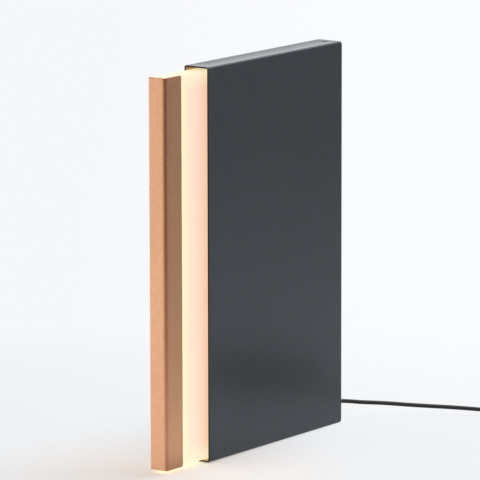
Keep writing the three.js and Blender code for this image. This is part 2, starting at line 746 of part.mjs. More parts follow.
function stripLead() {
  const run = yPlug - stripLeadStart;
  const rise = leadHeight - stripLeadFoot;
  const straight = 2 * leadRadius;
  return cable([
    [leadX, stripLeadStart, stripLeadFoot], [leadX, stripLeadStart + straight, stripLeadFoot],
    [leadX, stripLeadStart + run / 4, stripLeadFoot + rise / 6],
    [leadX, stripLeadStart + run / 2, stripLeadFoot + rise / 2],
    [leadX, stripLeadStart + run * 3 / 4, stripLeadFoot + rise * 5 / 6],
    [leadX, yPlug - 2 * straight, leadHeight], [leadX, yPlug - straight, leadHeight],
    [leadX, yFlange[1] - seatGap, leadHeight],
  ], leadRadius, 3 * leadRadius);
}

function ledLead() {
  const start = yFlange[1] + fitGap;
  const end = ySocket - fitGap;
  const span = end - start;
  const rise = socketHeight - leadHeight;
  const straight = 2 * leadRadius;
  return cable([
    [leadX, start, leadHeight], [leadX, start + straight, leadHeight],
    [leadX, start + span / 5, leadHeight + rise / 5], [leadX, start + span / 3, leadHeight + rise * 3 / 4],
    [leadX, start + span / 2, leadHeight + rise * 7 / 6], [leadX, start + span * 2 / 3, socketHeight],
    [leadX, start + span * 4 / 5, leadHeight + rise * 3 / 4],
    [leadX, end - 3 * straight, leadHeight + rise * 7 / 8],
    [leadX, end - straight, socketHeight], [leadX, end, socketHeight],
  ], leadRadius, 3 * leadRadius);
}

// Strain relief: snaps into the back of the sleeve and tapers down to the cord
function strainRelief() {
  const neckEnd = sheetThickness + 2 * fitGap + reliefFlange;
  const taper = neckEnd + reliefFlange;
  const ribs = Array.from({ length: 2 * reliefRibs }, (_, i) => {
    const share = (i + 1) / (2 * reliefRibs + 1);
    const radius = reliefNeckRadius + (reliefTipRadius - reliefNeckRadius) * share;
    return [i % 2 ? radius : radius - reliefRibDepth, taper + reliefLength * share];
  });
  return turned([
    [0, 0], [reliefFlangeRadius, 0], [reliefFlangeRadius, reliefFlange], [reliefNeckRadius, reliefFlange],
    [reliefNeckRadius, neckEnd], [reliefFlangeRadius, neckEnd], [reliefFlangeRadius, taper],
    [reliefNeckRadius, taper], ...ribs, [reliefTipRadius, taper + reliefLength], [0, taper + reliefLength],
  ]);
}

// Cord on the table: straight out of the strain relief, round towards +X, and down to the coil
const yReliefEnd = yBack + fitGap + reliefFlange + reliefLength;
const layerPitch = 2 * cordRadius + turnGap;
const coilFloor = tieThickness + fitGap + cordRadius;
const cordRoute = [
  [0, yReliefEnd + fitGap, cordHeight],
  [0, 108.6, 11.7],
  [0.9, 112.6, 11.1],
  [3.4, 116.9, 10.4],
  [7.4, 121.2, 9.7],
  [12.4, 125.6, 9.3],
  [18.2, 130.3, 8.9],
  [25, 135.5, 8.3],
  [33, 141.5, 7.5],
  [42, 148, 6.8],
  [52, 155.2, 6.1],
  [62, 162.4, 5.3],
  [72, 169.6, 4.3],
  [80, 175.4, 3.4],
  [87, 180.5, 2.8],
  [93.5, 185.2, coilFloor],
  [96.2, 187.16, coilFloor],
];

function cordRun() {
  return cable(cordRoute, cordRadius, 2 * cordRadius);
}

// Coil: layers of turns that spiral in and out again, climbing a layer where the spiral reverses
const turnsPerLayer = coilTurns / coilLayers;
const coilOuterRadius = coilInnerRadius + turnsPerLayer * layerPitch;
const [runBefore, runEnd] = cordRoute.slice(-2).map((point) => new THREE.Vector3(...point));
const runHeading = runEnd.clone().sub(runBefore).normalize();
const coilStart = runEnd.clone().addScaledVector(runHeading, fitGap + 2 * cordRadius);
const towardsCentre = new THREE.Vector3(runHeading.y, -runHeading.x, 0);
const coilCentre = coilStart.clone().addScaledVector(towardsCentre, coilOuterRadius);
const startAngle = Math.atan2(coilStart.y - coilCentre.y, coilStart.x - coilCentre.x);

function coilPoint(turn) {
  const layer = Math.min(Math.floor(turn / turnsPerLayer), coilLayers - 1);
  const along = (turn - layer * turnsPerLayer) * layerPitch;
  const radius = layer % 2 ? coilInnerRadius + along : coilOuterRadius - along;
  const nearest = Math.round(turn / turnsPerLayer);
  const reversal = Math.min(Math.max(nearest, 1), coilLayers - 1);
  const climb = THREE.MathUtils.smoothstep(turn - reversal * turnsPerLayer, -0.25, 0.25);
  const angle = startAngle - 2 * Math.PI * turn;
  return new THREE.Vector3(coilCentre.x + radius * Math.cos(angle), coilCentre.y + radius * Math.sin(angle),
    coilFloor + (reversal - 1 + climb) * layerPitch);
}

function coilLine() {
  const steps = Math.round(coilTurns * coilSteps);
  const line = Array.from({ length: steps + 1 }, (_, i) => coilPoint(coilTurns * i / steps));
  const endRadius = line.at(-1).clone().sub(coilCentre).setZ(0).normalize();
  const leadOut = new THREE.Vector3(endRadius.y, -endRadius.x, 0);
  const first = coilStart.clone().addScaledVector(runHeading, -2 * cordRadius);
  const last = line.at(-1).clone().addScaledVector(leadOut, 2 * cordRadius);
  return { line: [first, ...line, last], leadOut };
}

// The least distance between the surfaces of two turns, measured on the points of the line
function leastGap(line) {
  let least = Infinity;
  for (let i = 0; i < line.length; i++) {
    for (let j = i + coilSteps / 2; j < line.length; j++) {
      least = Math.min(least, line[i].distanceTo(line[j]) - 2 * cordRadius);
    }
  }
  return least;
}

// An unbroken tube of rings about a line, closed at both ends
function woundTube(line, leadIn, leadOut) {
  const points = [];
  const indices = [];
  line.forEach((point, i) => {
    const ends = [line[Math.max(i - 1, 0)], line[Math.min(i + 1, line.length - 1)]];
    const along = ends[1].clone().sub(ends[0]).normalize();
    if (i === 0) along.copy(leadIn);
    if (i === line.length - 1) along.copy(leadOut);
    const side = new THREE.Vector3().crossVectors(along, zAxis).normalize();
    const up = new THREE.Vector3().crossVectors(side, along);
    for (let k = 0; k < coilSides; k++) {
      const angle = 2 * Math.PI * k / coilSides;
      points.push(point.clone().addScaledVector(side, cordRadius * Math.cos(angle))
        .addScaledVector(up, cordRadius * Math.sin(angle)));
    }
  });
  const ring = (i, k) => i * coilSides + k % coilSides;
  for (let i = 0; i + 1 < line.length; i++) {
    for (let k = 0; k < coilSides; k++) {
      indices.push(ring(i, k), ring(i + 1, k), ring(i + 1, k + 1));
      indices.push(ring(i, k), ring(i + 1, k + 1), ring(i, k + 1));
    }
  }
  for (let k = 1; k + 1 < coilSides; k++) {
    indices.push(ring(0, 0), ring(0, k), ring(0, k + 1));
    indices.push(ring(line.length - 1, 0), ring(line.length - 1, k + 1), ring(line.length - 1, k));
  }
  const tube = new THREE.BufferGeometry().setFromPoints(points);
  tube.setIndex(indices);
  tube.computeVertexNormals();
  return tube;
}

const { line: coilRoute, leadOut } = coilLine();
console.log(`least gap between the turns of the coil: ${leastGap(coilRoute).toFixed(2)} mm`);

// Tie: a band round the bundle of turns, drawn in the plane of its height and radius
function cordTie(angle) {
  const inner = Math.sqrt((coilInnerRadius - cordRadius) ** 2 - (tieWidth / 2) ** 2) - fitGap;
  const outer = coilOuterRadius + cordRadius + fitGap;
  const top = coilFloor + (coilLayers - 1) * layerPitch + cordRadius + fitGap;
  const round = cordRadius + fitGap;
  const span = [-tieWidth / 2, tieWidth / 2];
  const band = slab('y', rectangle([0, top + tieThickness], [inner - tieThickness, outer + tieThickness],
    round + tieThickness), span);
  const hole = slab('y', rectangle([tieThickness, top], [inner, outer], round),
    [-tieWidth, tieWidth]);
  const tie = geometryOf(carved(band, hole));
  return tie.rotateZ(angle).translate(coilCentre.x, coilCentre.y, 0);
}

// Adapter: a plug-top body lying on the table where the cord ends
const tailStart = coilRoute.at(-1).clone().addScaledVector(leadOut, fitGap);
const adapterHeading = Math.atan2(-leadOut.x, leadOut.y);
const tailEnd = tailStart.clone().addScaledVector(leadOut, tailLength).setZ(adapterHeight / 2);

function cordTail() {
  const straight = 2 * cordRadius;
  const points = [
    tailStart, tailStart.clone().addScaledVector(leadOut, straight),
    tailEnd.clone().addScaledVector(leadOut, -straight), tailEnd,
  ];
  return cable(points.map((point) => point.toArray()), cordRadius, straight);
}

function adapterRelief() {
  const ribs = Array.from({ length: 2 * reliefRibs }, (_, i) => {
    const share = (i + 1) / (2 * reliefRibs + 1);
    const radius = reliefTipRadius + (reliefFlangeRadius - reliefTipRadius) * share;
    return [i % 2 ? radius : radius - reliefRibDepth, reliefLength * share];
  });
  return turned([
    [0, 0], [reliefTipRadius, 0], ...ribs, [reliefFlangeRadius, reliefLength], [0, reliefLength],
  ]);
}

function adapterBody() {
  const half = adapterWidth / 2;
  const shape = rectangle([-half, half], [0, adapterLength], adapterCornerRadius);
  return cushioned('z', shape, [-adapterHeight / 2, adapterHeight / 2], adapterEdgeRadius);
}

function adapterPinPlate() {
  const half = adapterWidth / 2 - adapterFaceInset;
  const up = adapterHeight / 2 - adapterFaceInset;
  const plate = cushioned('y', rectangle([-up, up], [-half, half], adapterCornerRadius), [0, adapterFace],
    adapterFaceInset);
  const depth = [adapterFace / 2, adapterFace + overrun];
  const holes = [-1, 1].map((side) => bar('y', [0, side * pinSpacing / 2], depth, pinRadius + seatGap));
  return carved(plate, ...holes);
}

function adapterPin() {
  return turned([
    [0, 0], [pinRadius, 0], [pinRadius, pinLength - pinTipRadius], [pinTipRadius, pinLength], [0, pinLength],
  ]);
}

// Assembly: the fixed sleeve, the sliding book block, the plunger and the cord
const lamp = new THREE.Group();
const sleeve = new THREE.Group();
const book = new THREE.Group();
const cord = new THREE.Group();
lamp.add(sleeve, book, cord);

piece(sleeve, 'sleeve_shell', sleeveShell(), sleevePaint);
piece(sleeve, 'base_pad', basePad(), blackRubber);
piece(sleeve, 'chassis', chassis(), aluminium);
[['top_screw', topScrewY, zTop, 1], ['bottom_screw_rear', topScrewY, zBottom, -1],
  ['bottom_screw_front', frontScrewY, zBottom, -1]].forEach(([name, y, z, up]) => {
  piece(sleeve, name, flatHead, blackSteel, [0, y, z]).rotation.x = up * Math.PI / 2;
});
['lower', 'upper'].forEach((level, i) => {
  const z = zRods[i];
  piece(sleeve, `guide_rod_${level}`, guideRod(), polishedSteel, [0, yLug[0] + seatGap, z]);
  piece(sleeve, `rod_clip_${level}`, rodClip(z), blackSteel);
  piece(sleeve, `spacer_${level}`, spacer(), aluminium, [0, ySpacer[0], z]);
  piece(sleeve, `stop_ring_${level}`, stopRing(), blackRubber, [0, yLug[1] + seatGap + stopRingRadius, z]);
  piece(book, `bushing_${level}`, bushing(), bronze, [0, yStop, z]);
});
piece(sleeve, 'circuit_board', circuitBoard(), boardGreen);
[['board_screw_lower', lowerEarHeight], ['board_screw_upper', upperEarHeight]].forEach(([name, z]) => {
  piece(sleeve, name, panHead, polishedSteel, [boardX[1] + seatGap + screwHeadHeight, yEarScrew, z])
    .rotation.z = -Math.PI / 2;
});
piece(sleeve, 'capacitor', capacitor(), blackPlastic,
  [onBoard, (yBoard[0] + yBoard[1]) / 2, capacitorHeight]).rotation.z = -Math.PI / 2;
const connector = boardBlock([yConnector - connectorDepth / 2, yConnector + connectorDepth / 2],
  connectorHeight, connectorLength, connectorWidth, fitGap);
const socket = boardBlock([ySocket, ySocket + socketDepth], socketHeight, socketLength, socketWidth, fitGap);
piece(sleeve, 'cord_connector', connector, whitePlastic);
piece(sleeve, 'lead_socket', socket, whitePlastic);
piece(sleeve, 'switch_body', switchBody(), blackPlastic);
piece(sleeve, 'inner_cord', innerCord(), cordJacket);
piece(sleeve, 'cord_clamp', cordClamp(), blackPlastic);
piece(sleeve, 'led_lead', ledLead(), whitePlastic);

const plungerPlace = [plungerX, ySwitch - plungerReach, switchHeight];
piece(lamp, 'switch_plunger', switchPlunger(), whitePlastic, plungerPlace);

piece(book, 'leather_spine', leatherSpine(), tanLeather);
piece(book, 'diffuser', diffuser(), opal);
piece(book, 'led_bar', ledBar(), aluminium);
piece(book, 'led_strip', ledStrip(), ledWhite);
piece(book, 'stay_rod_lower', stayRod(), polishedSteel, [0, yStay[0], zLedBar[0] + stayInset]);
piece(book, 'stay_rod_upper', stayRod(), polishedSteel, [0, yStay[0], zLedBar[1] - stayInset]);
piece(book, 'strip_lead', stripLead(), whitePlastic);
piece(book, 'carriage_plate', carriagePlate(), whitePlastic);
piece(book, 'slide_arm_lower', slideArm(zRods[0], 1, true), blackPlastic);
piece(book, 'slide_arm_upper', slideArm(zRods[1], -1, false), blackPlastic);
['lower', 'upper'].forEach((level, i) => {
  const headTop = yFlange[1] + seatGap + footThickness + seatGap + screwHeadHeight;
  piece(book, `arm_screw_${level}`, panHead, polishedSteel, [0, headTop, zFeet[i]]);
});

piece(cord, 'strain_relief', strainRelief(), blackRubber, [0, yReliefIn, cordHeight]);
piece(cord, 'cord_run', cordRun(), cordJacket);
piece(cord, 'cord_coil', woundTube(coilRoute, runHeading, leadOut), cordJacket);
piece(cord, 'cord_tail', cordTail(), cordJacket);
piece(cord, 'cord_tie_near', cordTie(-Math.PI / 2), blackRubber);
piece(cord, 'cord_tie_far', cordTie(Math.PI / 2), blackRubber);

const adapter = new THREE.Group();
adapter.position.copy(tailEnd);
adapter.rotation.z = adapterHeading;
cord.add(adapter);
const adapterStart = fitGap + reliefLength + fitGap;
piece(adapter, 'adapter_relief', adapterRelief(), blackRubber, [0, fitGap, 0]);
piece(adapter, 'adapter_body', adapterBody(), blackPlastic, [0, adapterStart, 0]);
const faceStart = adapterStart + adapterLength + fitGap;
const pinStart = faceStart + adapterFace / 2 + seatGap;
piece(adapter, 'adapter_face', adapterPinPlate(), blackPlastic, [0, faceStart, 0]);
piece(adapter, 'adapter_pin_left', adapterPin(), polishedSteel, [-pinSpacing / 2, pinStart, 0]);
piece(adapter, 'adapter_pin_right', adapterPin(), polishedSteel, [pinSpacing / 2, pinStart, 0]);

lamp.updateMatrixWorld(true);

export default lamp;
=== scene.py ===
import math

import bmesh
import bpy
from mathutils import Matrix, Vector


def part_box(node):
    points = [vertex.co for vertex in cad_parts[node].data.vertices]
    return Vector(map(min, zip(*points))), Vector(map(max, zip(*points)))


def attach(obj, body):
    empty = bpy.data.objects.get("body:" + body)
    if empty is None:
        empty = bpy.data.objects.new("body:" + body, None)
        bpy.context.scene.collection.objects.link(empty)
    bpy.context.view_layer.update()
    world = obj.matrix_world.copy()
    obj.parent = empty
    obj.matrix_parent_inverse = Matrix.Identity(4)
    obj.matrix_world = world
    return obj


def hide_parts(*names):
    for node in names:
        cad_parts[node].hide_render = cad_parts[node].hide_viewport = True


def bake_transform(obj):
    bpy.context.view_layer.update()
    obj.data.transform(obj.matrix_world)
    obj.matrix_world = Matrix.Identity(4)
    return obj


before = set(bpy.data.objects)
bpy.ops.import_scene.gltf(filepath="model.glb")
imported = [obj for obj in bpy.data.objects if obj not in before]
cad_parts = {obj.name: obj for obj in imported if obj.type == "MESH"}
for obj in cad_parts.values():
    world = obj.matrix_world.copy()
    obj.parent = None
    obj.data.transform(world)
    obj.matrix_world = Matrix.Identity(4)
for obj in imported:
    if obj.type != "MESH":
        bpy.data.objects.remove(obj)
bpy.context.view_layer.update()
print("frame loaded:", len(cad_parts), "nodes")

mm = 0.001
scene = bpy.context.scene


# Camera, fitted to the photograph
cameraSetup = {
    "eye": (1844.167, -2515.346, 711.016),  # millimetres
    "right": (0.80593945, 0.59199434, -0.0020725),
    "up": (-0.10515233, 0.14659754, 0.98359145),
    "back": (0.58258439, -0.79249724, 0.18039833),
    "lens": 362.547,
    "sensor": 36,
    "reach": (0.1, 30),
}


def addCamera(setup):
    data = bpy.data.cameras.new("camera")
    camera = bpy.data.objects.new("camera", data)
    scene.collection.objects.link(camera)
    turn = Matrix((setup["right"], setup["up"], setup["back"])).transposed().to_4x4()
    camera.matrix_world = Matrix.Translation(Vector(setup["eye"]) * mm) @ turn
    data.sensor_width = setup["sensor"]
    data.lens = setup["lens"]
    data.clip_start, data.clip_end = setup["reach"]
    scene.camera = camera


addCamera(cameraSetup)
scene.view_settings.view_transform = "Standard"


# Working with meshes

def deselectAll():
    if bpy.context.mode != "OBJECT":
        bpy.ops.object.mode_set(mode="OBJECT")
    bpy.ops.object.select_all(action="DESELECT")


def selectOnly(obj):
    deselectAll()
    obj.select_set(True)
    bpy.context.view_layer.objects.active = obj


def inMetres(place):
    return [v * mm for v in place]


def openNew(name, size=(1, 1, 1)):  # names and sizes the mesh just added, and opens it for editing
    obj = bpy.context.object
    obj.name = obj.data.name = name
    obj.scale = size
    bpy.ops.object.transform_apply()
    bpy.ops.object.mode_set(mode="EDIT")
    return obj


def startCube(name, low, high):  # between two corners
    deselectAll()
    middle = [(a + b) / 2 for a, b in zip(low, high)]
    bpy.ops.mesh.primitive_cube_add(size=1, location=middle)
    return openNew(name, [b - a for a, b in zip(low, high)])


def pick(kind, test):  # selects the faces, edges or verts that pass the test, and nothing else
    bpy.ops.mesh.select_all(action="DESELECT")
    bpy.ops.mesh.select_mode(type=kind)
    mesh = bmesh.from_edit_mesh(bpy.context.object.data)
    items = {"VERT": mesh.verts, "EDGE": mesh.edges, "FACE": mesh.faces}[kind]
    for item in items:
        if test(item):
            item.select_set(True)
    mesh.select_flush_mode()
    bmesh.update_edit_mesh(bpy.context.object.data)


def dropFaces(test):
    pick("FACE", test)
    bpy.ops.mesh.delete(type="FACE")


near = 0.01 * mm  # corners this close to a plane lie on it


def along(edge, axis):  # does the edge run along this axis, 0, 1 or 2
    a, b = edge.verts
    way = (b.co - a.co).normalized()
    return abs(way[axis]) > 0.999


def allAt(item, axis, value):
    return all(abs(v.co[axis] - value) < near for v in item.verts)


def modifier(obj, kind, **values):  # adds a modifier, sets it up and applies it
    selectOnly(obj)
    made = obj.modifiers.new(kind.lower(), kind)
    for key, value in values.items():
        setattr(made, key, value)
    bpy.ops.object.modifier_apply(modifier=made.name)


def slices(planes):  # cuts the open mesh along planes, each a place and a direction
    for place, way in planes:
        bpy.ops.mesh.select_all(action="SELECT")
        bpy.ops.mesh.bisect(plane_co=place, plane_no=way)


def cleanUp(merge=0.001 * mm):
    bpy.ops.mesh.select_all(action="SELECT")
    bpy.ops.mesh.remove_doubles(threshold=merge)
    bpy.ops.mesh.normals_make_consistent(inside=False)


def roundEdges(radius, steps, **values):
    bpy.ops.mesh.bevel(offset=radius, segments=steps, affect="EDGES", **values)


def thicken(obj, thickness, **values):  # inwards, with room for materials inside and at the rim
    for _ in range(1 + max(values.values(), default=0)):
        obj.data.materials.append(None)
    modifier(obj, "SOLIDIFY", thickness=thickness, offset=-1, use_even_offset=True, **values)


def smoothOff(obj, degrees):
    selectOnly(obj)
    bpy.ops.object.shade_smooth_by_angle(angle=math.radians(degrees))


def weighNormals(obj):  # keeps wide flat faces flat beside their rounded edges
    modifier(obj, "WEIGHTED_NORMAL", weight=100, keep_sharp=True)


def placeBy(obj, matrix):  # moves a finished mesh and leaves its object at the origin
    selectOnly(obj)
    obj.matrix_world = matrix
    bpy.ops.object.transform_apply()


roundSides = 32


def turnPiece(name, profile, sides=roundSides):  # stands on Z, from pairs of height and radius in metres
    height, radius = profile[0]
    deselectAll()
    bpy.ops.mesh.primitive_circle_add(vertices=sides, radius=radius, fill_type="NGON",
                                      location=(0, 0, height))
    obj = openNew(name)
    bpy.ops.mesh.select_all(action="SELECT")
    for nextHeight, nextRadius in profile[1:]:
        bpy.ops.mesh.extrude_region_move(TRANSFORM_OT_translate={"value": (0, 0, nextHeight - height)})
        share = nextRadius / radius
        bpy.ops.transform.resize(value=(share, share, 1), center_override=(0, 0, nextHeight))
        height, radius = nextHeight, nextRadius
    cleanUp()
    deselectAll()
    return obj


def stand(direction, place):  # the matrix that turns +Z to a direction and moves the origin to a place
    turn = Vector(direction).to_track_quat("Z", "Y").to_matrix().to_4x4()
    return Matrix.Translation(Vector(place)) @ turn


def cut(obj, cutter):
    modifier(obj, "BOOLEAN", object=cutter, operation="DIFFERENCE", solver="EXACT")
    bpy.data.objects.remove(cutter)


# Working with materials

class Wire:  # a shader socket that can be reckoned with
    def __init__(self, tree, socket):
        self.tree, self.socket = tree, socket

    def reckon(self, operation, *others, flip=False):
        terms = (*others, self) if flip else (self, *others)
        node = self.tree.nodes.new("ShaderNodeMath")
        node.operation = operation
        for slot, term in zip(node.inputs, terms):
            if isinstance(term, Wire):
                self.tree.links.new(term.socket, slot)
            else:
                slot.default_value = term
        return Wire(self.tree, node.outputs[0])

    def __add__(self, other):
        return self.reckon("ADD", other)

    def __sub__(self, other):
        return self.reckon("SUBTRACT", other)

    def __rsub__(self, other):
        return self.reckon("SUBTRACT", other, flip=True)

    def __mul__(self, other):
        return self.reckon("MULTIPLY", other)

    __radd__, __rmul__ = __add__, __mul__

    def clamped(self):
        return self.reckon("MINIMUM", 1).reckon("MAXIMUM", 0)

    def rising(self, start, end):  # 0 before start, 1 after end, straight between
        return ((self - start) * (1 / (end - start))).clamped()


class Nodes:  # a node tree and the one way to add to it, apart from what Wire reckons
    def __init__(self, tree):
        self.tree = tree

    def feed(self, node, sockets):
        for key, value in sockets.items():
            slot = node.inputs[key]
            if isinstance(value, Wire):
                self.tree.links.new(value.socket, slot)
            elif isinstance(value, (tuple, list)) and len(value) == 3 and slot.type == "RGBA":
                slot.default_value = (*value, 1)
            else:
                slot.default_value = value

    def add(self, kind, settings=None, sockets=None, output=0):
        node = self.tree.nodes.new("ShaderNode" + kind)
        for key, value in (settings or {}).items():
            if key == "stops":
                ramp = node.color_ramp
                while len(ramp.elements) < len(value):
                    ramp.elements.new(1)
                for element, (position, colour) in zip(ramp.elements, value):
                    element.position = position
                    element.color = (*colour, 1)
            else:
                setattr(node, key, value)
        self.feed(node, sockets or {})
        return Wire(self.tree, node.outputs[output]) if len(node.outputs) else None

    def addSplit(self, keys, *what):  # several outputs of one new node
        outputs = self.add(*what).socket.node.outputs
        return [Wire(self.tree, outputs[key]) for key in keys]

    def seenShare(self):  # 1 where the camera sees a thing, also mirrored or through glass
        rays = ("Is Camera Ray", "Is Glossy Ray", "Is Transmission Ray")
        camera, glossy, through = self.addSplit(rays, "LightPath")
        return (camera + glossy + through).clamped()


class Finish(Nodes):  # a material
    def __init__(self, name, base, **sockets):
        self.material = bpy.data.materials.new(name)
        self.material.use_nodes = True
        super().__init__(self.material.node_tree)
        self.shader = self.find("BSDF_PRINCIPLED")
        self.feed(self.shader, {"Base Color": base, **sockets})

    def find(self, kind):
        return next(node for node in self.tree.nodes if node.type == kind)

    def place(self):
        return self.add("TexCoord", output=3)

    def axes(self):
        return self.addSplit((0, 1, 2), "SeparateXYZ", {}, {0: self.place()})

    def stretched(self, scale, turn=(0, 0, 0)):
        return self.add("Mapping", {}, {"Vector": self.place(), "Scale": scale, "Rotation": turn})

    def noise(self, scale, detail, roughness, where=None):
        return self.add("TexNoise", {}, {"Vector": where or self.place(), "Scale": scale,
                                         "Detail": detail, "Roughness": roughness})

    def mix(self, factor, first, second, blend="MIX"):
        return self.add("Mix", {"data_type": "RGBA", "blend_type": blend},
                        {0: factor, 6: first, 7: second}, output=2)

    def bump(self, height, depth, strength, under=None):
        sockets = {"Height": height, "Distance": depth, "Strength": strength}
        if under:
            sockets["Normal"] = under
        return self.add("Bump", {}, sockets)

    def set(self, **sockets):
        names = {"base": "Base Color", "rough": "Roughness", "normal": "Normal",
                 "glow": "Emission Color"}
        self.feed(self.shader, {names[key]: value for key, value in sockets.items()})
        return self.material


def dress(obj, body, slotName, *finishes):  # finishes by the faces' numbers, or else the slot's own
    finishes = finishes or [materials[slotName]]
    faces = obj.data.polygons if obj.type == "MESH" else []
    numbers = [min(face.material_index, len(finishes) - 1) for face in faces]
    obj.data.materials.clear()
    for finish in finishes:
        obj.data.materials.append(finish)
    if numbers:
        faces.foreach_set("material_index", numbers)
    if body:
        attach(obj, body)


# Sheet paint: fine powder coat, nearly black, with a faint grain and a soft sheen
paintLook = {
    "colour": (0.0066, 0.0082, 0.0102),
    "worn": (0.0100, 0.0122, 0.0148),
    "sheen": {"IOR": 1.63, "Specular Tint": (0.8, 0.91, 1)},
    "roughness": 0.32,
    "roughSwing": (0.06, 0.12),  # with the cloud and with the grain
    "cloud": 14,  # per metre, as are the next two
    "grain": 1900,
    "peel": 420,
    "grainDepth": 0.03 * mm,
    "peelDepth": 0.07 * mm,
}


def paintFinish(look):
    finish = Finish("sleevePaint", look["colour"], **look["sheen"])
    cloud = finish.noise(look["cloud"], 4, 0.6)
    grain = finish.noise(look["grain"], 2, 0.6)
    peel = finish.noise(look["peel"], 1, 0.4)
    base = finish.mix(cloud.rising(0.35, 0.75) * 0.6 + grain * 0.25, look["colour"], look["worn"])
    cloudSwing, grainSwing = look["roughSwing"]
    rough = look["roughness"] + (cloud - 0.5) * cloudSwing + (grain - 0.5) * grainSwing
    lumps = finish.bump(peel, look["peelDepth"], 0.5)
    return finish.set(base=base, rough=rough, normal=finish.bump(grain, look["grainDepth"], 0.6, lumps))


# Tan leather: mottled vegetable tan with pores and fine creases; its folds are darkened by painted
# shade, with a little burnish
leatherLook = {
    "light": (0.645, 0.343, 0.198),
    "mid": (0.545, 0.277, 0.154),
    "dark": (0.42, 0.185, 0.092),
    "sheen": {"IOR": 1.45, "Specular IOR Level": 0.3},
    "roughness": 0.66,
    "mottle": 34,  # per metre, as are the next three
    "fibre": 260,
    "speck": 620,
    "pore": 1400,
    "poreDepth": 0.06 * mm,
    "creaseDepth": 0.08 * mm,
    "rim": 0.9 * mm,  # how far the ends are stained
    "rimStain": 0.55,
    "flangeRim": (1.4 * mm, 0.4 * mm),
    "foldStart": 3 * mm,  # from the flank towards the middle of the front
    "foldShift": 2 * mm,  # the painted shade on the far side's fold is fainter, as that side catches more light
    "foldScale": 2.4 * mm,
    "foldReach": 3.5,
    "foldBurnishAndShade": [(0, (1, 1, 1)), (0.11, (0.86, 0.78, 0.70)), (0.23, (0.58, 0.41, 0.28)),
                 (0.34, (0.49, 0.32, 0.20)), (0.44, (0.48, 0.34, 0.24)), (0.52, (0.66, 0.58, 0.52)),
                 (0.66, (0.88, 0.86, 0.84)), (0.99, (1, 1, 1))],
    "foldFaded": (0.45, 0.6),  # how much of the painted fold shade is gone at the foot, where more light reaches the flank, and how far up it fades
}


def leatherFinish(look, box):
    low, high = box
    finish = Finish("tanLeather", look["light"], **look["sheen"])
    x, y, z = finish.axes()
    drift = finish.noise(look["mottle"], 4, 0.6, finish.stretched((1, 1, 0.35)))
    fibre = finish.noise(look["fibre"], 4, 0.65)
    grain = finish.noise(look["pore"], 2, 0.6)
    pore = finish.add("TexVoronoi", {"feature": "F1"}, {"Vector": finish.place(), "Scale": look["pore"]})
    speck = finish.noise(look["speck"], 3, 0.7)
    tone = drift.rising(0.3, 0.72) * 0.6 + (grain - 0.5) * 0.6 + (speck - 0.5) * 1.3
    base = finish.mix(tone.clamped(), look["light"], look["mid"])
    base = finish.mix(fibre.rising(0.52, 0.8) * 0.22, base, look["dark"])
    # Painted shade in the folds, with a little burnish: darkest where the leather turns from the front
    # to the flank
    side = x.reckon("MAXIMUM", -1 * x - look["foldShift"])
    across = ((side - (high[0] - look["foldStart"])) * (1 / look["foldScale"])).reckon("MAXIMUM", 0)
    down = ((y - low[1]) * (1 / look["foldScale"])).reckon("MINIMUM", 2).reckon("MAXIMUM", 0)
    bend = (across + down) * (1 / look["foldReach"]) + (fibre - 0.5) * 0.08 + (speck - 0.5) * 0.08
    burnishAndShade = finish.add("ValToRGB", {"stops": look["foldBurnishAndShade"]}, {"Fac": bend})
    faded, height = look["foldFaded"]
    left = 1 - faded * (1 - z.rising(low[2], low[2] + height * (high[2] - low[2]))) - (drift - 0.5) * 0.3
    base = finish.mix(left.clamped(), base, finish.mix(1.0, base, burnishAndShade, "MULTIPLY"))
    ends = 1 - z.rising(low[2], low[2] + look["rim"]) * (1 - z.rising(high[2] - look["rim"], high[2]))
    flangeEnd = y.rising(*(high[1] - reach for reach in look["flangeRim"]))
    base = finish.mix((ends + flangeEnd).clamped() * look["rimStain"], base, look["dark"])
    rough = look["roughness"] + (fibre - 0.5) * 0.25
    creases = finish.bump(fibre, look["creaseDepth"], 0.5)
    return finish.set(base=base, rough=rough, normal=finish.bump(pore, look["poreDepth"], 0.4, creases))


# The raw edge of the hide, stained and burnished
cutEdgeLook = {
    "colour": (0.36, 0.14, 0.07),
    "dark": (0.30, 0.11, 0.055),
    "light": (0.52, 0.25, 0.14),
    "grain": 900,
    "depth": 0.05 * mm,
}


def cutEdgeFinish(look):
    finish = Finish("leatherCutEdge", look["colour"])
    grain = finish.noise(look["grain"], 3, 0.6)
    base = finish.mix(grain, look["dark"], look["light"])
    return finish.set(base=base, rough=0.4 + grain * 0.2, normal=finish.bump(grain, look["depth"], 0.5))
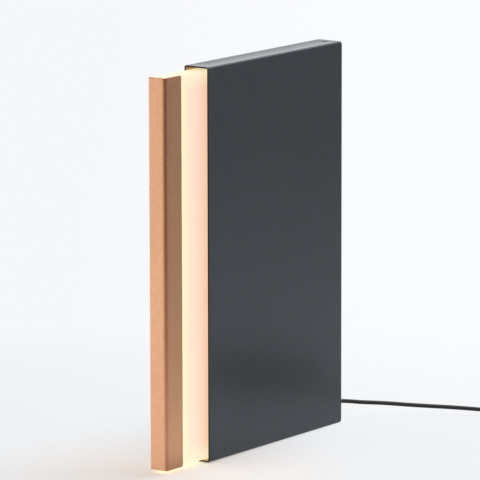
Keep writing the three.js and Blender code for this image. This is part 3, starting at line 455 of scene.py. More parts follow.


# Opal block: lit from its front edge and whitest beside the leather; its warmer colour towards the
# sleeve is partly painted shade of the sleeve, and its hot colour inside the sleeve is painted light
# bounced between block and walls
opalLook = {
    "base": (0.12, 0.105, 0.085),
    "strength": 3,
    "seen": (1.9 * mm, 5.9 * mm),  # where it is first and last seen, past the leather and past the mouth
    "across": [  # what shows from the leather to the mouth of the sleeve; it warms towards the mouth with painted shade of the sleeve, and the darker stop at 0.86 is a painted shadow line just past the mouth
        (0, (0.93, 0.87, 0.56)), (0.05, (0.91, 0.80, 0.53)), (0.22, (0.91, 0.735, 0.53)),
        (0.38, (0.91, 0.685, 0.535)), (0.55, (0.91, 0.655, 0.515)), (0.70, (0.90, 0.625, 0.475)),
        (0.78, (0.89, 0.62, 0.455)), (0.86, (0.84, 0.575, 0.40)), (0.885, (0.88, 0.58, 0.385)),
        (0.97, (0.87, 0.565, 0.37)), (1, (0.84, 0.51, 0.31))],
    "ends": (0.95, 0.86, 0.60),  # the walls near the top and near the foot
    "topFade": (11 * mm, 1 * mm),  # from this far to this far below the top
    "footFade": (1 * mm, 14 * mm),
    "endShare": 0.75,
    "top": (0.78, 0.66, 0.40),
    "foot": (2.2, 1.45, 0.7),  # it is hotter under the block, and inside the sleeve, where the extra glow is painted light bounced between block and walls
    "inside": (2.9, 1.75, 0.85),
    "skin": (0.1 * mm, 0.6 * mm),  # how deep the colours of the top and of the foot reach
    "farHalf": (0.5 * mm, 3.5 * mm),  # across the block, where the painted bounce glow begins from the mouth on
    "mouthTurn": (0.5 * mm, 2.5 * mm),  # over this stretch past the mouth
    "insideTurn": (0.4 * mm, 2 * mm),  # and on the near half over this one, past what is seen
    "cloud": 60,  # per metre, as is the next
    "grain": 1400,
    "grainDepth": 0.02 * mm,
}


def opalFinish(look, box, mouth, spineEnd):
    low, high = box
    dim = 1 / look["strength"]
    finish = Finish("opalDiffuser", look["base"], **{"IOR": 1.49, "Emission Strength": look["strength"]})
    x, y, z = finish.axes()
    cloud = finish.noise(look["cloud"], 3, 0.5)
    grain = finish.noise(look["grain"], 2, 0.5)
    first, last = spineEnd + look["seen"][0], mouth + look["seen"][1]
    share = (y - first) * (1 / (last - first)) + (cloud - 0.5) * 0.02
    stops = [(place, [v * dim for v in colour]) for place, colour in look["across"]]
    glow = finish.add("ValToRGB", {"stops": stops}, {"Fac": share})

    def over(mask, key, under):
        return finish.mix(mask, under, [v * dim for v in look[key]])

    nearTop = z.rising(*(high[2] - reach for reach in look["topFade"]))
    nearFoot = 1 - z.rising(*(low[2] + reach for reach in look["footFade"]))
    glow = over((nearTop + nearFoot).clamped() * look["endShare"], "ends", glow)
    # painted light inside the sleeve, as if bounced between the block and the sleeve's walls
    farHalf = 1 - x.rising(*look["farHalf"])
    bounceGlowMask = y.rising(*(last + reach for reach in look["insideTurn"]))
    bounceGlowMask = bounceGlowMask + y.rising(*(mouth + reach for reach in look["mouthTurn"])) * farHalf
    glow = over(bounceGlowMask.clamped(), "inside", glow)
    least, most = look["skin"]
    glow = over(z.rising(high[2] - most, high[2] - least), "top", glow)
    glow = over(1 - z.rising(low[2] + least, low[2] + most), "foot", glow)
    base = finish.mix(cloud * 0.4, look["base"], [v * 1.2 for v in look["base"]])
    return finish.set(base=base, glow=glow, rough=0.34 + grain * 0.1,
                      normal=finish.bump(grain, look["grainDepth"], 0.4))


# Rubber and moulded plastic: noises per metre
mouldedLook = {"speck": 1600, "cloud": 45, "depth": 0.03 * mm}


def mouldedFinish(name, colour, lighter, roughness, **sockets):
    finish = Finish(name, colour, **sockets)
    speck = finish.noise(mouldedLook["speck"], 2, 0.6)
    cloud = finish.noise(mouldedLook["cloud"], 3, 0.5)
    base = finish.mix(cloud * 0.6 + speck * 0.4, colour, lighter)
    return finish.set(base=base, rough=roughness + (speck - 0.5) * 0.14 + (cloud - 0.5) * 0.08,
                      normal=finish.bump(speck, mouldedLook["depth"], 0.5))


# Metals, drawn along their length
metalLook = {"lines": 900, "stain": 55, "depth": 0.02 * mm}


def metalFinish(name, colour, darker, roughness, stretch=(1, 1, 12)):
    finish = Finish(name, colour, **{"Metallic": 1.0})
    drawn = finish.noise(metalLook["lines"], 2, 0.6, finish.stretched(stretch))
    stain = finish.noise(metalLook["stain"], 4, 0.6)
    base = finish.mix(stain.rising(0.35, 0.8) * 0.7, colour, darker)
    return finish.set(base=base, rough=roughness + (drawn - 0.5) * 0.2 + (stain - 0.5) * 0.1,
                      normal=finish.bump(drawn, metalLook["depth"], 0.4))


# Circuit board: green solder mask with copper tracks under it
boardLook = {
    "mask": (0.016, 0.105, 0.048),
    "track": (0.03, 0.16, 0.07),
    "dark": (0.01, 0.06, 0.03),
    "tracks": 90,  # per metre, as is the next
    "speck": 1200,
    "depth": 0.03 * mm,
}


def boardFinish(look):
    finish = Finish("boardGreen", look["mask"], **{"Coat Weight": 0.4, "Coat Roughness": 0.15})
    cells = finish.add("TexBrick", {"offset": 0.5}, {
        "Vector": finish.stretched((1, 1, 1), (0, math.pi / 2, 0)), "Scale": look["tracks"],
        "Mortar Size": 0.02, "Mortar Smooth": 0.1}, output=1)
    speck = finish.noise(look["speck"], 2, 0.5)
    base = finish.mix(cells.rising(0.3, 0.7), look["mask"], look["track"])
    base = finish.mix(speck * 0.3, base, look["dark"])
    return finish.set(base=base, rough=0.35 + speck * 0.15,
                      normal=finish.bump(cells, look["depth"], 0.4))


# Light strip: white, with yellow emitters that stand above it
ledLook = {
    "strip": (0.68, 0.68, 0.63),
    "emitter": (0.72, 0.55, 0.13),
    "dark": (0.02, 0.018, 0.012),
    "lit": (0.9, 0.7, 0.42),
    "proud": (0.9 * mm, 1.2 * mm),  # above the face that lies in its channel
    "speck": 700,
}


def ledFinish(look, box):
    foot = box[0][1]
    finish = Finish("ledStrip", look["strip"], **{"Emission Strength": 1.0})
    proud = finish.axes()[1].rising(*(foot + reach for reach in look["proud"]))
    speck = finish.noise(look["speck"], 2, 0.5)
    base = finish.mix(proud, look["strip"], look["emitter"])
    glow = finish.mix(proud * (0.7 + speck * 0.3), look["dark"], look["lit"])
    return finish.set(base=base, glow=glow, rough=0.4 + speck * 0.2)


materials = {
    "sleeve_paint": paintFinish(paintLook),
    "rubber": mouldedFinish("blackRubber", (0.0125, 0.0125, 0.013), (0.024, 0.0235, 0.023), 0.68),
    "cord_jacket": mouldedFinish("cordJacket", (0.0062, 0.0056, 0.0052), (0.012, 0.011, 0.0104), 0.5,
                                 **{"IOR": 1.4}),
    "aluminium": metalFinish("brushedAluminium", (0.62, 0.63, 0.64), (0.45, 0.46, 0.47), 0.34),
    "steel": metalFinish("polishedSteel", (0.62, 0.62, 0.62), (0.5, 0.49, 0.48), 0.2, (1, 8, 1)),
    "black_steel": metalFinish("blackSteel", (0.05, 0.05, 0.053), (0.085, 0.08, 0.075), 0.38),
    "white_plastic": mouldedFinish("whitePlastic", (0.78, 0.77, 0.73), (0.7, 0.69, 0.65), 0.42),
    "black_plastic": mouldedFinish("blackPlastic", (0.016, 0.0165, 0.018), (0.028, 0.0285, 0.03), 0.44),
    "bronze": metalFinish("sinteredBronze", (0.45, 0.26, 0.10), (0.28, 0.15, 0.06), 0.42),
    "board": boardFinish(boardLook),
    "led": ledFinish(ledLook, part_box("led_strip")),
}
print("materials made")


# Cord, in millimetres: the stretch on the table, the coil and the tail, on one line
cordForm = {
    "exit": (0, 105.75, 12),
    "hidden": 2,  # how far each end reaches into its strain relief
    "route": [  # as in the CAD source
        (0, 106.05, 12), (0, 108.6, 11.7), (0.9, 112.6, 11.1), (3.4, 116.9, 10.4), (7.4, 121.2, 9.7),
        (12.4, 125.6, 9.3), (18.2, 130.3, 8.9), (25, 135.5, 8.3), (33, 141.5, 7.5), (42, 148, 6.8),
        (52, 155.2, 6.1), (62, 162.4, 5.3), (72, 169.6, 4.3), (80, 175.4, 3.4), (87, 180.5, 2.8),
        (93.5, 185.2, 2.5), (96.2, 187.16, 2.5),
    ],
    "radius": 1.4,
    "turnGap": 0.5,
    "innerRadius": 10.7,
    "turns": 15.35,
    "layers": 4,
    "floor": 2.5,
    "fitGap": 0.3,
    "climb": 0.25,  # of a turn, on each side of a new layer's start
    "stepsPerTurn": 48,
    "bendSteps": 6,
    "tail": 12,
    "adapterMiddle": 12,
    "sides": 5,
}


def smoothLine(points, steps):  # centripetal curve through points
    points = [Vector(p) for p in points]
    padded = [2 * points[0] - points[1], *points, 2 * points[-1] - points[-2]]
    line = []
    for i in range(len(points) - 1):
        p0, p1, p2, p3 = padded[i:i + 4]
        gaps = [max((b - a).length, 1e-9) ** 0.5 for a, b in ((p0, p1), (p1, p2), (p2, p3))]
        t1, t2, t3 = gaps[0], gaps[0] + gaps[1], sum(gaps)
        for k in range(steps):
            t = t1 + (t2 - t1) * k / steps
            a1 = p0 * (t1 - t) / t1 + p1 * t / t1
            a2 = p1 * (t2 - t) / gaps[1] + p2 * (t - t1) / gaps[1]
            a3 = p2 * (t3 - t) / gaps[2] + p3 * (t - t2) / gaps[2]
            b1 = a1 * (t2 - t) / t2 + a2 * t / t2
            b2 = a2 * (t3 - t) / (t3 - t1) + a3 * (t - t1) / (t3 - t1)
            line.append(b1 * (t2 - t) / gaps[1] + b2 * (t - t1) / gaps[1])
    return [*line, points[-1]]


def easeStep(value, start, end):
    share = min(max((value - start) / (end - start), 0), 1)
    return share * share * (3 - 2 * share)


def cordLine(form):  # the whole centreline in millimetres, with the coil's centre and the lead-out
    route = [Vector(p) for p in form["route"]]
    pitch = 2 * form["radius"] + form["turnGap"]
    perLayer = form["turns"] / form["layers"]
    outer = form["innerRadius"] + perLayer * pitch
    heading = (route[-1] - route[-2]).normalized()
    start = route[-1] + heading * (form["fitGap"] + 2 * form["radius"])
    centre = start + Vector((heading.y, -heading.x, 0)) * outer
    startAngle = math.atan2(start.y - centre.y, start.x - centre.x)
    coil = []
    steps = round(form["turns"] * form["stepsPerTurn"])
    for i in range(steps + 1):
        turn = form["turns"] * i / steps
        layer = min(int(turn / perLayer), form["layers"] - 1)
        inward = (turn - layer * perLayer) * pitch
        radius = form["innerRadius"] + inward if layer % 2 else outer - inward
        reversal = min(max(round(turn / perLayer), 1), form["layers"] - 1)
        climb = easeStep(turn - reversal * perLayer, -form["climb"], form["climb"])
        angle = startAngle - 2 * math.pi * turn
        coil.append(Vector((centre.x + radius * math.cos(angle), centre.y + radius * math.sin(angle),
                            form["floor"] + (reversal - 1 + climb) * pitch)))
    outward = (coil[-1] - centre).to_2d().normalized()
    leadOut = Vector((outward.y, -outward.x, 0))
    tailStart = coil[-1] + leadOut * (2 * form["radius"] + form["fitGap"])
    tailEnd = tailStart + leadOut * form["tail"]
    tailEnd.z = form["adapterMiddle"]
    straight = leadOut * 2 * form["radius"]
    tail = smoothLine([tailStart, tailStart + straight, tailEnd - straight, tailEnd], form["bendSteps"])
    line = [route[0] - Vector((0, form["hidden"], 0)), *smoothLine(route, form["bendSteps"]), *coil,
            *tail, tailEnd + leadOut * form["hidden"]]
    return line, centre, leadOut, tailEnd


cordPath, coilCentre, leadOut, tailEnd = cordLine(cordForm)


def cableCurve(name, points, radius, sides):  # a round cable on one open line, points in metres
    data = bpy.data.curves.new(name, "CURVE")
    data.dimensions = "3D"
    spline = data.splines.new("POLY")
    spline.points.add(len(points) - 1)
    for slot, point in zip(spline.points, points):
        slot.co = (*point, 1)
    data.bevel_depth = radius
    data.bevel_resolution = sides
    data.resolution_u = data.render_resolution_u = 1
    data.use_fill_caps = True
    spline.use_smooth = True
    obj = bpy.data.objects.new(name, data)
    scene.collection.objects.link(obj)
    return obj


cordPiece = cableCurve("cord", [p * mm for p in cordPath], cordForm["radius"] * mm, cordForm["sides"])
dress(cordPiece, "sleeve", "cord_jacket")
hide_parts("cord_run", "cord_coil", "cord_tail")
cordLength = sum((b - a).length for a, b in zip(cordPath, cordPath[1:])) * mm
print("cord length", round(cordLength, 3))


# Sleeve
sleeveForm = {
    "edgeRadius": 1.4 * mm,
    "edgeSteps": 6,
    "backRadius": 2.2 * mm,
    "backSteps": 7,
    "sheet": 1 * mm,
    "rimRadius": 0.14 * mm,
    "rimSteps": 2,
    "dish": 0.42 * mm,  # how far the top sags between its long edges
    "dishSteps": 6,
    "dishFade": 11 * mm,  # over this length it fades towards the mouth and towards the back
    "fadeSteps": 4,
    "sinkRadius": 2.3 * mm,
    "boreRadius": 1.0 * mm,
    "reliefHole": 3.3 * mm,
    "cordHeight": 12 * mm,
}


def screwPlace(node, up):  # the middle of a screw's head, and which way its head points
    low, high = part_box(node)
    return ((low[0] + high[0]) / 2, (low[1] + high[1]) / 2, (high if up > 0 else low)[2]), up


sleeveScrews = {name: screwPlace(name, up) for name, up in (
    ("top_screw", 1), ("bottom_screw_rear", -1), ("bottom_screw_front", -1))}


def makeSleeve(form):
    low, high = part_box("sleeve_shell")
    obj = startCube("sleeve", low, high)
    dropFaces(lambda f: f.normal.y < -0.9)
    pick("EDGE", lambda e: along(e, 0) and allAt(e, 1, high[1]))
    roundEdges(form["backRadius"], form["backSteps"])
    pick("EDGE", lambda e: not e.is_boundary and (allAt(e, 0, low[0]) or allAt(e, 0, high[0])))
    roundEdges(form["edgeRadius"], form["edgeSteps"])
    half = high[0] - form["edgeRadius"]
    rows = [half * (2 * i / form["dishSteps"] - 1) for i in range(1, form["dishSteps"])]
    last = form["fadeSteps"]
    reaches = [form["dishFade"] * i / last for i in range(last + 1)]
    fades = [(low[1] + reach, high[1] - form["backRadius"] - reach) for reach in reaches]
    cuts = [((row, 0, 0), (1, 0, 0)) for row in rows]
    cuts += [((0, fade, 0), (0, 1, 0)) for pair in fades for fade in pair if fade > low[1]]
    slices(cuts)
    for row in rows:
        for i, (front, back) in enumerate(fades[1:], 1):
            pick("VERT", lambda v: v.co.z > high[2] - near and abs(v.co.x - row) < near
                 and min(abs(v.co.y - front), abs(v.co.y - back)) < near)
            drop = form["dish"] * (1 - (row / half) ** 2) * easeStep(i, 0, last)
            bpy.ops.transform.translate(value=(0, 0, -drop))
    cleanUp()
    thicken(obj, form["sheet"], material_offset=1, material_offset_rim=2)
    for place, up in sleeveScrews.values():
        sheet = form["sheet"]
        profile = [(-sheet * 1.5, form["boreRadius"]), (-sheet, form["boreRadius"]),
                   (0, form["sinkRadius"]), (sheet * 0.2, form["sinkRadius"] + sheet * 0.2)]
        cutter = turnPiece("cutter", profile)
        placeBy(cutter, stand((0, 0, up), place))
        cut(obj, cutter)
    reliefCut = turnPiece("cutter", [(end * form["sheet"], form["reliefHole"]) for end in (-2, 2)])
    placeBy(reliefCut, stand((0, 1, 0), (0, high[1], form["cordHeight"])))
    cut(obj, reliefCut)
    bpy.ops.object.mode_set(mode="EDIT")
    pick("EDGE", lambda e: allAt(e, 1, low[1]) and len(e.link_faces) == 2
         and any(abs(f.normal.y) < 0.5 for f in e.link_faces))
    roundEdges(form["rimRadius"], form["rimSteps"])
    cleanUp(0.0001 * mm)
    smoothOff(obj, degrees=40)
    weighNormals(obj)
    return obj


sleevePiece = makeSleeve(sleeveForm)
# The inside of the sleeve is a warm brown, far lighter than the outer paint: painted glow of the block's
# light on the inner walls
insideGlowFinish = mouldedFinish("sleeveInsidePaintedGlow", (0.15, 0.088, 0.046), (0.21, 0.125, 0.06), 0.36,
                             **{"IOR": 1.6})
# The rim of the mouth is duller and darker than the sheet's paint: painted shade along the cut edge,
# where it mirrors little light
rimShadeFinish = mouldedFinish("sleeveRimPaintedShade", (0.006, 0.0055, 0.005), (0.0105, 0.0095, 0.0085), 0.7,
                          **{"Specular IOR Level": 0.2})
dress(sleevePiece, "sleeve", "sleeve_paint", materials["sleeve_paint"], insideGlowFinish, rimShadeFinish)
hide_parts("sleeve_shell")
print("sleeve made")


# Leather spine
leatherForm = {
    "thickness": 1.3 * mm,
    "foldRadius": 1.5 * mm,
    "foldSteps": 6,
    "cornerRadius": 1.3 * mm,
    "cornerSteps": 5,
    "alongStep": 3.5 * mm,
    "acrossStep": 2.2 * mm,
    "edgeRadius": 0.22 * mm,
    "edgeSteps": 3,
    "farDrop": 0.7 * mm,  # how much shorter the far flange is cut at the top
    "endWave": (0.3 * mm, 0.016),  # depth and length of the waves, at the ends of the flanges
    "waviness": (0.07 * mm, 0.013),  # and all over
}


def cloudTexture(name, size):
    texture = bpy.data.textures.new(name, "CLOUDS")
    texture.noise_scale = size
    return texture


def makeLeather(form):
    low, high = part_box("leather_spine")
    obj = startCube("leatherSpine", low, high)
    dropFaces(lambda f: f.normal.y > 0.9 or abs(f.normal.z) > 0.9)
    pick("VERT", lambda v: abs(v.co.y - high[1]) < near)
    bpy.ops.mesh.bevel(offset=form["cornerRadius"], segments=form["cornerSteps"], affect="VERTICES")
    pick("EDGE", lambda e: along(e, 2) and allAt(e, 1, low[1]))
    roundEdges(form["foldRadius"], form["foldSteps"])
    for axis, step in ((2, "alongStep"), (1, "acrossStep"), (0, "acrossStep")):
        length = high[axis] - low[axis]
        count = round(length / form[step])
        way = Vector([float(i == axis) for i in range(3)])
        slices([(way * (low[axis] + length * i / count), way) for i in range(1, count)])
    pick("VERT", lambda v: v.co.x < low[0] + 0.1 * mm and v.co.z > high[2] - form["cornerRadius"] - near)
    bpy.ops.transform.translate(value=(0, 0, -form["farDrop"]))
    cleanUp()
    bpy.ops.object.mode_set(mode="OBJECT")
    flange = obj.vertex_groups.new(name="flangeEnd")
    flange.add([v.index for v in obj.data.vertices if v.co.y > high[1] - 0.1 * mm], 1, "REPLACE")
    depth, size = form["endWave"]
    modifier(obj, "DISPLACE", texture=cloudTexture("endWave", size), texture_coords="LOCAL",
             direction="Y", strength=-depth, mid_level=0.2, vertex_group="flangeEnd")
    depth, size = form["waviness"]
    modifier(obj, "DISPLACE", texture=cloudTexture("surfaceWave", size), texture_coords="LOCAL",
             direction="NORMAL", strength=depth, mid_level=0.3)
    thicken(obj, form["thickness"], material_offset_rim=1)
    bpy.ops.object.mode_set(mode="EDIT")
    pick("EDGE", lambda e: len(e.link_faces) == 2
         and {f.material_index for f in e.link_faces} == {0, 1})
    roundEdges(form["edgeRadius"], form["edgeSteps"], clamp_overlap=True)
    smoothOff(obj, degrees=50)
    return obj


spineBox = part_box("leather_spine")
leatherPiece = makeLeather(leatherForm)
dress(leatherPiece, "book", "tan_leather", leatherFinish(leatherLook, spineBox),
      cutEdgeFinish(cutEdgeLook))
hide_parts("leather_spine")
print("leather made")


# Opal block
opalForm = {"edgeRadius": 0.7 * mm, "edgeSteps": 4, "wall": 1.6 * mm}


def makeOpal(form):
    low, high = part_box("diffuser")
    obj = startCube("opalBlock", low, high)
    dropFaces(lambda f: f.normal.y > 0.9)
    pick("EDGE", lambda e: not e.is_boundary)
    roundEdges(form["edgeRadius"], form["edgeSteps"])
    cleanUp()
    thicken(obj, form["wall"])
    smoothOff(obj, degrees=40)
    weighNormals(obj)
    return obj


opalPiece = makeOpal(opalForm)
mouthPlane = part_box("sleeve_shell")[0][1]
dress(opalPiece, "book", "opal", opalFinish(opalLook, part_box("diffuser"), mouthPlane, spineBox[1][1]))
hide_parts("diffuser")
print("opal block made")


# Screws of the sleeve
screwForm = {
    "sunk": 0.2 * mm,
    "head": 1.95 * mm,
    "headRound": 0.12 * mm,
    "cone": 1.1 * mm,
    "shank": 0.9 * mm,
    "length": 4 * mm,
    "socket": 1.05 * mm,
    "socketDepth": 0.8 * mm,
    "socketSides": 6,
}


def makeScrew(name, form):
    top = -form["sunk"]
    turn = form["headRound"]
    obj = turnPiece(name, [(-form["length"], form["shank"]), (top - form["cone"], form["shank"]),
                           (top - turn, form["head"]), (top, form["head"] - turn)])
    depth, radius = form["socketDepth"], form["socket"]
    cut(obj, turnPiece("cutter", [(top - depth, radius), (0.5 * mm, radius)], form["socketSides"]))
    smoothOff(obj, degrees=30)
    return obj


for node, (place, up) in sleeveScrews.items():
    screw = makeScrew(node + "Piece", screwForm)
    placeBy(screw, stand((0, 0, up), place))
    dress(screw, "sleeve", "black_steel")
    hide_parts(node)
print("screws made")


# Strain reliefs, millimetres from the inner end: a plain part, ribs on a taper, a lip round the cord
reliefForm = {
    "place": (0, 93.75, 12),
    "plain": [(0, 4.2), (0.3, 4.6), (0.9, 4.6), (1.2, 4.35), (1.2, 3.0), (2.8, 3.0), (2.8, 4.35),
              (3.1, 4.6), (3.7, 4.6), (4.0, 4.35)],
    "ribbed": (4.0, 11.6),
    "radii": (3.35, 2.15),
    "ribs": 6,
    "ribDepth": 0.42,
    "lip": [(12.0, 2.1), (12.0, 1.62), (11.6, 1.5)],
}
adapterReliefForm = {
    "plain": [(-9.4, 4.5), (-8.3, 4.5)],
    "ribbed": (-8.2, -0.7),
    "radii": (4.4, 2.2),
    "ribs": 6,
    "ribDepth": 0.45,
    "lip": [(-0.3, 2.1), (-0.3, 1.62), (-0.7, 1.5)],
}
reliefSides = 36


def makeRelief(name, form):
    (start, end), (wide, narrow) = form["ribbed"], form["radii"]
    step = (end - start) / form["ribs"]
    profile = list(form["plain"])
    for i in range(form["ribs"]):
        radius = wide + (narrow - wide) * (i + 0.5) / form["ribs"]
        sunk = form["ribDepth"]
        profile += [(start + (i + share) * step, radius - drop) for share, drop in (
            (0, sunk), (0.32, sunk), (0.36, 0.08), (0.46, 0), (0.88, 0), (1, 0.1))]  # one rib
    profile += form["lip"]
    obj = turnPiece(name, [inMetres(ring) for ring in profile], reliefSides)
    smoothOff(obj, degrees=40)
    return obj


strainRelief = makeRelief("strainRelief", reliefForm)
placeBy(strainRelief, stand((0, 1, 0), inMetres(reliefForm["place"])))
dress(strainRelief, "sleeve", "rubber")
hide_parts("strain_relief")

adapterTurn = math.atan2(-leadOut.x, leadOut.y)
adapterFrame = Matrix.Translation(tailEnd * mm) @ Matrix.Rotation(adapterTurn, 4, "Z")
adapterRelief = makeRelief("adapterRelief", adapterReliefForm)
placeBy(adapterRelief, stand(-leadOut, tailEnd * mm))
dress(adapterRelief, "sleeve", "rubber")
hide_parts("adapter_relief")
print("strain reliefs made")


# Adapter, in millimetres, with Y along the cord
adapterForm = {
    "low": (-14, 8.6, -12),
    "high": (14, 36.9, 12),
    "corner": 4,
    "ends": (2.2, 1.0),  # rounding at the cord and at the face
    "seam": (0.22, 0.35, 0.04),  # half its width, its depth and its slope
    "grips": [11.8, 13.4, 15.0, 16.6, 18.2],
    "gripWidth": 0.8,
    "gripHeight": 8.5,
    "gripDepth": 0.5,
    "gripSlope": 0.1,
    "face": ((-13, 36.6, -11), (13, 39.9, 11)),
    "faceCorner": 3,
    "faceEnds": (0.2, 0.8),
    "faceRim": 1.4,
    "faceDepth": 0.5,
    "faceSlope": 0.15,
    "pins": 9.5,
    "pin": [(-1.3, 2.35), (0.1, 2.35), (0.2, 2.0), (9.4, 2.0), (9.4, 1.93), (16.3, 1.93), (17.1, 1.6),
            (17.6, 1.1)],
    "pinStart": 39.4,
    "pinCover": 9.4,
    "pinSides": 28,
}
boxSteps = (6, 4)  # of its long edges and of its ends


def roundedBox(name, low, high, corner, ends):  # rounded along Y, and at its low and its high end
    obj = startCube(name, inMetres(low), inMetres(high))
    pick("EDGE", lambda e: along(e, 1))
    roundEdges(corner * mm, boxSteps[0])
    for end, radius in zip((low[1], high[1]), ends):
        pick("EDGE", lambda e: allAt(e, 1, end * mm)
             and any(abs(f.normal.y) < 0.5 for f in e.link_faces))
        roundEdges(radius * mm, boxSteps[1])
    return obj


def makeAdapterBody(form):
    obj = roundedBox("adapterBody", form["low"], form["high"], form["corner"], form["ends"])
    seam, depth, slope = form["seam"]
    half = form["gripWidth"] / 2
    planes = [((0, 0, side * height), (0, 0, 1)) for height in (seam, form["gripHeight"])
              for side in (-1, 1)]
    planes += [((0, place + side * half, 0), (0, 1, 0)) for place in form["grips"] for side in (-1, 1)]
    slices([(inMetres(place), way) for place, way in planes])
    pick("FACE", lambda f: abs(f.calc_center_median().z) < seam * mm)
    bpy.ops.mesh.inset(thickness=slope * mm, depth=-depth * mm, use_even_offset=True)
    for place in form["grips"]:
        for side, level in ((-1, -1), (-1, 1), (1, -1), (1, 1)):
            pick("FACE", lambda f: abs(f.calc_center_median().y - place * mm) < half * mm
                 and f.normal.x * side > 0.9
                 and seam * mm < f.calc_center_median().z * level < form["gripHeight"] * mm)
            bpy.ops.mesh.inset(thickness=form["gripSlope"] * mm, depth=-form["gripDepth"] * mm)
    cleanUp(0.0001 * mm)
    smoothOff(obj, degrees=32)
    return obj


def makeAdapterFace(form):
    low, high = form["face"]
    obj = roundedBox("adapterFace", low, high, form["faceCorner"], form["faceEnds"])
    pick("FACE", lambda f: f.normal.y > 0.9999)
    bpy.ops.mesh.inset(thickness=form["faceRim"] * mm, depth=0)
    bpy.ops.mesh.inset(thickness=form["faceSlope"] * mm, depth=-form["faceDepth"] * mm)
    cleanUp(0.0001 * mm)
    smoothOff(obj, degrees=32)
    return obj


adapterBody = makeAdapterBody(adapterForm)
adapterFace = makeAdapterFace(adapterForm)
for piece, node in ((adapterBody, "adapter_body"), (adapterFace, "adapter_face")):
    placeBy(piece, adapterFrame)
    dress(piece, "sleeve", "black_plastic")
    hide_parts(node)
for side, node in ((-1, "adapter_pin_left"), (1, "adapter_pin_right")):
    profile = [inMetres(ring) for ring in adapterForm["pin"]]
    pin = turnPiece(node + "Piece", profile, adapterForm["pinSides"])
    for face in pin.data.polygons:  # the sleeve round its foot is plastic
        x, y, z = face.center
        face.material_index = int(z < adapterForm["pinCover"] * mm and math.hypot(x, y) > mm)
    smoothOff(pin, degrees=35)
    start = adapterFrame @ Vector((side * adapterForm["pins"] * mm, adapterForm["pinStart"] * mm, 0))
    placeBy(pin, stand(leadOut, start))
    dress(pin, "sleeve", "steel", materials["steel"], materials["black_plastic"])
    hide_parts(node)
print("adapter made")


# Ties round the coil, in millimetres, with X away from the middle of the coil
tieForm = {
    "inner": 8.66,
    "outer": 25.06,
    "top": 14.4,
    "width": 5,
    "thick": 0.5,
    "corner": 3,
    "cornerSteps": 6,
    "flap": (11.5, 21.5),
    "flapThick": 0.5,
    "flapCorner": 1.6,
    "flapSteps": 5,
    "flapInset": 0.2,  # narrower than the band on each side
    "flapSunk": 0.05,
    "edge": {"width": 0.12 * mm, "segments": 2, "limit_method": "ANGLE",
             "angle_limit": math.radians(50)},
}


# Their woven cloth, with short hairs
tieLook = {
    "dark": (0.011, 0.011, 0.0115),
    "light": (0.03, 0.03, 0.031),
    "sheen": {"Sheen Weight": 0.25, "Sheen Roughness": 0.4},
    "weave": 330,  # per metre, as is the next
    "hair": 2600,
    "depth": 0.1 * mm,
}


def tieFinish(look):
    finish = Finish("wovenTie", look["light"], **look["sheen"])
    weave = finish.add("TexWave", {"wave_type": "BANDS", "bands_direction": "Z"},
                       {"Vector": finish.place(), "Scale": look["weave"], "Distortion": 1.2,
                        "Detail": 2})
    hair = finish.noise(look["hair"], 2, 0.7)
    base = finish.mix(weave * 0.6 + hair * 0.4, look["dark"], look["light"])
    return finish.set(base=base, rough=0.75 + hair * 0.2,
                      normal=finish.bump(weave + hair * 0.6, look["depth"], 0.6))


def makeTie(name, form):
    half = form["width"] / 2
    obj = startCube(name, inMetres((form["inner"], -half, 0)),
                    inMetres((form["outer"], half, form["top"])))
    dropFaces(lambda f: abs(f.normal.y) > 0.9)
    pick("EDGE", lambda e: along(e, 1))
    roundEdges(form["corner"] * mm, form["cornerSteps"])
    cleanUp()
    thicken(obj, form["thick"] * mm)
    modifier(obj, "BEVEL", **form["edge"])
    smoothOff(obj, degrees=40)
    start, end = form["flap"]
    half -= form["flapInset"]
    flap = startCube(name + "Flap", inMetres((start, -half, form["top"] - form["flapSunk"])),
                     inMetres((end, half, form["top"] + form["flapThick"])))
    pick("EDGE", lambda e: along(e, 2) and allAt(e, 0, start * mm))
    roundEdges(form["flapCorner"] * mm, form["flapSteps"])
    modifier(flap, "BEVEL", **form["edge"])
    smoothOff(flap, degrees=40)
    return obj, flap


tieMaterial = tieFinish(tieLook)
for angle, node in ((-90, "cord_tie_near"), (90, "cord_tie_far")):
    band, flap = makeTie(node + "Band", tieForm)
    for piece in (band, flap):
        placeBy(piece, Matrix.Translation((coilCentre.x * mm, coilCentre.y * mm, 0))
                @ Matrix.Rotation(math.radians(angle), 4, "Z"))
        dress(piece, "sleeve", "rubber", tieMaterial)
    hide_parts(node)
    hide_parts(node)
print("ties made")


# Leads inside, points in millimetres
leadForm = {
    "inner": [(0, 93.45, 12), (0, 88.95, 12), (0, 87.55, 12), (1.2, 86.15, 12), (3.6, 84.75, 13.05),
              (4.8, 81.45, 20.4), (4.8, 81.45, 28), (4.8, 81.45, 38), (2.55, 81.45, 54.85),
              (0.3, 81.45, 67.5), (0.3, 81.45, 71.7)],
    "strip": [(-0.3, -86.65, 21.4), (-0.3, -84.65, 21.4), (-0.3, -75.93, 30.33), (-0.3, -65.2, 48.2),
              (-0.3, -54.48, 66.07), (-0.3, -47.75, 75), (-0.3, -45.75, 75), (-0.3, -31.85, 75)],
    "slack": [(-0.3, -31.45, 75), (-0.3, -29.45, 75), (-0.3, -11.37, 83.6), (-0.3, 2.02, 107.25),
              (-0.3, 18.75, 125.17), (-0.3, 35.48, 118), (-0.3, 48.87, 107.25), (-0.3, 62.95, 112.63),
              (-0.3, 66.95, 118), (-0.3, 68.95, 118)],
    "innerRadius": 1.4 * mm,
    "thinRadius": 1 * mm,
    "sides": 3,
    "bendSteps": 8,
}


def leadCurve(name, points, radius):
    line = smoothLine(points, leadForm["bendSteps"])
    return cableCurve(name, [p * mm for p in line], radius, leadForm["sides"])


